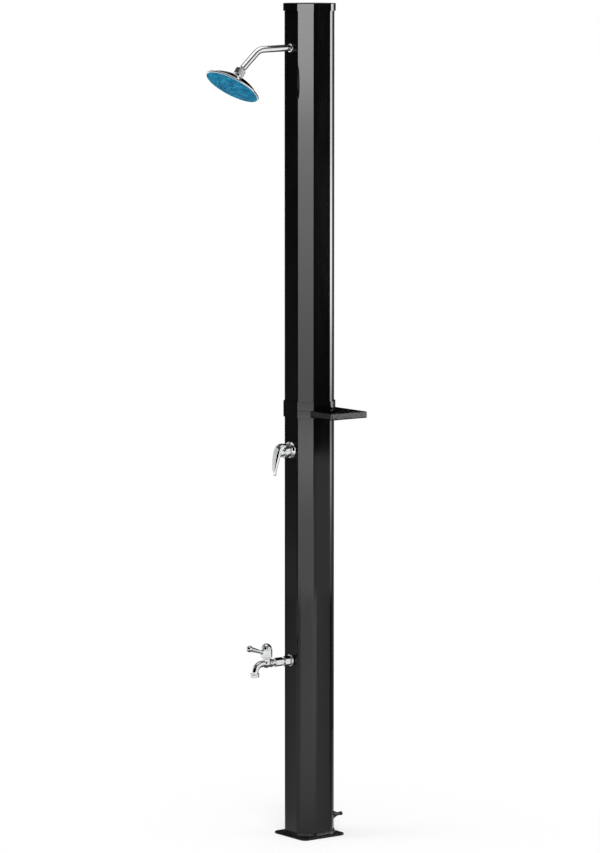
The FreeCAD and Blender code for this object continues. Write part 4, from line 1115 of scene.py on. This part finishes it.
def floor_card():
    """The floor as the black pieces see it: brighter in front and to the right, darker behind."""
    glow = Glow("floor_card")
    across = glow.steps(glow.along(around(dish_azimuth, 1.0)),
                        [(-6.8, 0.17), (-3.4, 0.36), (-0.4, 0.66), (0.2, 1.0), (6.8, 1.05)])
    towards = glow.steps(glow.along(around(rim_azimuth, 1.0)),
                         [(-3.5, 2.0), (-1.5, 2.0), (-0.1, 1.1), (0.4, 0.22), (6.8, 0.5)])
    card = disc("floor_card", glow.strength(glow.times(across, towards)), floor_reach)
    only_mirrored(card, all_but_chrome)
    let_through(card)


def chrome_floor():
    """The floor as the chrome sees it: dark close by, where the post stands over it."""
    glow = Glow("chrome_floor")
    strength = glow.steps(glow.out_from((0, 0, 0)), [(0.0, 0.06), (0.7, 0.12), (1.3, 0.75), (6.8, 0.9)])
    only_mirrored(disc("chrome_floor", glow.strength(strength), floor_reach, under_floor), chrome_pieces)


def top_card():
    """A bright round card overhead, for every piece."""
    glow = Glow("top_card")
    strength = glow.steps(glow.out_from((0, 0, top_height)), [(0.0, 1.3), (1.2, 1.1), (1.9, 0.3)])
    only_mirrored(disc("top_card", glow.strength(strength), top_reach, top_height, 64))


def walls():
    """What the black pieces mirror: dark walls before the post's front and dish sides, a bright one
    before the chamfer between them, one for the rounded edge at the back, and a dark one behind."""
    wall_card("key_wall", all_but_chrome, -8, 72, wall_distance,
              [(0.0, 2.9), (0.27, 2.9), (0.4, 3.8), (0.5, 4.5), (0.61, 4.3), (0.68, 3.0), (0.8, 3.1),
               (1.07, 3.95), (1.33, 4.9), (1.62, 6.3), (2.05, 12.0), (2.7, 13.0)])
    wall_card("front_wall", all_but_chrome, -62, -10, wall_distance,
              [(0.0, 0.4), (0.14, 0.33), (0.27, 0.21), (0.5, 0.12), (0.58, 0.075), (0.7, 0.1),
               (0.85, 0.085), (1.2, 0.055), (1.7, 0.03), (2.7, 0.03)])
    wall_card("dish_wall", all_but_chrome, 80, 131, wall_distance,
              [(0.0, 1.0), (0.5, 0.95), (0.54, 0.05), (0.9, 0.05), (1.2, 0.1), (1.45, 0.14), (1.7, 0.06),
               (2.7, 0.04)])
    wall_card("edge_wall", all_but_chrome, 132.5, 180, wall_distance,
              [(0.0, 1.3), (0.14, 1.7), (0.27, 3.1), (0.4, 6.0), (0.5, 6.9), (0.61, 5.4), (0.7, 7.7),
               (0.8, 12.5), (0.94, 16.0), (1.07, 23.0), (1.33, 26.0), (1.47, 24.0), (1.7, 20.0),
               (2.7, 20.0)],
              [(0, 1.0), (16, 0.95), (30, 0.55), (47.5, 0.28)])
    wall_card("rear_wall", all_but_chrome, 186, 232, rear_distance,
              [(0.0, 0.06), (0.6, 0.08), (1.5, 0.08), (3.0, 0.08)])


def tents():
    """What the chrome mirrors. The tents stand before the walls, and the black pieces see through them."""
    for card in (
            wall_card("front_tent", chrome_pieces, -110, -20, tent_distance,
                      [(0.0, 0.95), (0.9, 0.75), (1.6, 0.65), (3.2, 0.5)]),
            wall_card("key_tent", chrome_pieces, -20, 74, tent_distance,
                      [(0.0, 0.8), (0.35, 0.7), (0.5, 0.05), (3.2, 0.05)]),
            wall_card("dish_tent", chrome_pieces, 74, 150, tent_distance,
                      [(0.0, 0.6), (0.9, 0.85), (1.6, 0.95), (3.2, 0.8)])):
        let_through(card)


def let_through(thing):
    """Let a card add its glow to what stands behind it."""
    nodes = thing.data.materials[0].node_tree.nodes
    links = thing.data.materials[0].node_tree.links
    added = nodes.new("ShaderNodeAddShader")
    links.new(nodes.new("ShaderNodeBsdfTransparent").outputs["BSDF"], added.inputs[0])
    links.new(nodes["Emission"].outputs["Emission"], added.inputs[1])
    links.new(added.outputs["Shader"], nodes["Material Output"].inputs["Surface"])


def white_room():
    """White surroundings to the eye, dim in the reflections."""
    world = bpy.data.worlds.new("room")
    world.use_nodes = True
    nodes = world.node_tree.nodes
    links = world.node_tree.links
    nodes.clear()
    mix = nodes.new("ShaderNodeMixShader")
    dim = nodes.new("ShaderNodeBackground")
    white = nodes.new("ShaderNodeBackground")
    dim.inputs["Strength"].default_value = room_dim
    white.inputs["Strength"].default_value = room_white
    for background in (dim, white):
        background.inputs["Color"].default_value = (1.0, 1.0, 1.0, 1.0)
    links.new(nodes.new("ShaderNodeLightPath").outputs["Is Camera Ray"], mix.inputs["Fac"])
    links.new(dim.outputs["Background"], mix.inputs[1])
    links.new(white.outputs["Background"], mix.inputs[2])
    links.new(mix.outputs["Shader"], nodes.new("ShaderNodeOutputWorld").inputs["Surface"])
    bpy.context.scene.world = world
    bpy.context.scene.view_settings.view_transform = "Standard"


def pale_floor():
    """Pale near the post, where its shadow falls, and fading into the white room."""
    glow = Glow("pale_floor")
    pale = glow.nodes.new("ShaderNodeBsdfDiffuse")
    pale.inputs["Color"].default_value = (0.9, 0.9, 0.9, 1.0)
    fade = glow.nodes.new("ShaderNodeMixShader")
    shares = glow.steps(glow.out_from((0, 0, 0)), [(0.0, 0.5), (0.3, 0.75), (0.9, 1.0), (7.0, 1.0)])
    glow.links.new(shares, fade.inputs["Fac"])
    glow.links.new(pale.outputs["BSDF"], fade.inputs[1])
    glow.links.new(glow.emission.outputs["Emission"], fade.inputs[2])
    glow.links.new(fade.outputs["Shader"], glow.out)
    disc("floor", glow.material, floor_reach).visible_glossy = False


def panel(name, centre, aim, width, height, strength):
    """A soft light panel that faces a point."""
    light = bpy.data.lights.new(name, "AREA")
    light.shape = "RECTANGLE"
    light.size = width
    light.size_y = height
    light.energy = strength
    lamp = bpy.data.objects.new(name, light)
    lamp.location = centre
    lamp.rotation_euler = (Vector(aim) - Vector(centre)).to_track_quat("-Z", "Y").to_euler()
    lamp.visible_camera = False
    lamp.visible_glossy = False
    bpy.context.scene.collection.objects.link(lamp)


def lights():
    panel("key", around(60, 3.5, 3.6), (0, 0, 0.8), 1.8, 1.8, 120)
    panel("fill", around(-30, 3.5, 2.6), (0, 0, 1.0), 2.0, 2.0, 50)
    panel("top", (0, 0, 5.0), (0, 0, 0), 3.0, 3.0, 160)


def camera():
    turn = math.radians(camera_azimuth)
    tilt = math.radians(camera_elevation)
    back = Vector((math.sin(turn) * math.cos(tilt), -math.cos(turn) * math.cos(tilt), math.sin(tilt)))
    side = Vector((math.cos(turn), math.sin(turn), 0))
    aim = side * camera_aim_side + UP * camera_aim_height
    data = bpy.data.cameras.new("camera")
    data.lens = camera_lens
    data.sensor_width = camera_sensor
    data.clip_end = 100
    view = bpy.data.objects.new("camera", data)
    view.location = aim + back * camera_distance
    view.rotation_euler = (-back).to_track_quat("-Z", "Y").to_euler()
    bpy.context.scene.collection.objects.link(view)
    bpy.context.scene.camera = view


camera()
white_room()
pale_floor()
lights()
floor_card()
chrome_floor()
top_card()
walls()
tents()
dress_frame()
post_tubes()
cap()
collar()
clamp_screw_set()
dish()
base()
arm()
head_nut()
head_shell()
head_face()
mixer()
mixer_handle()
tap()
tap_lever()
inlet()
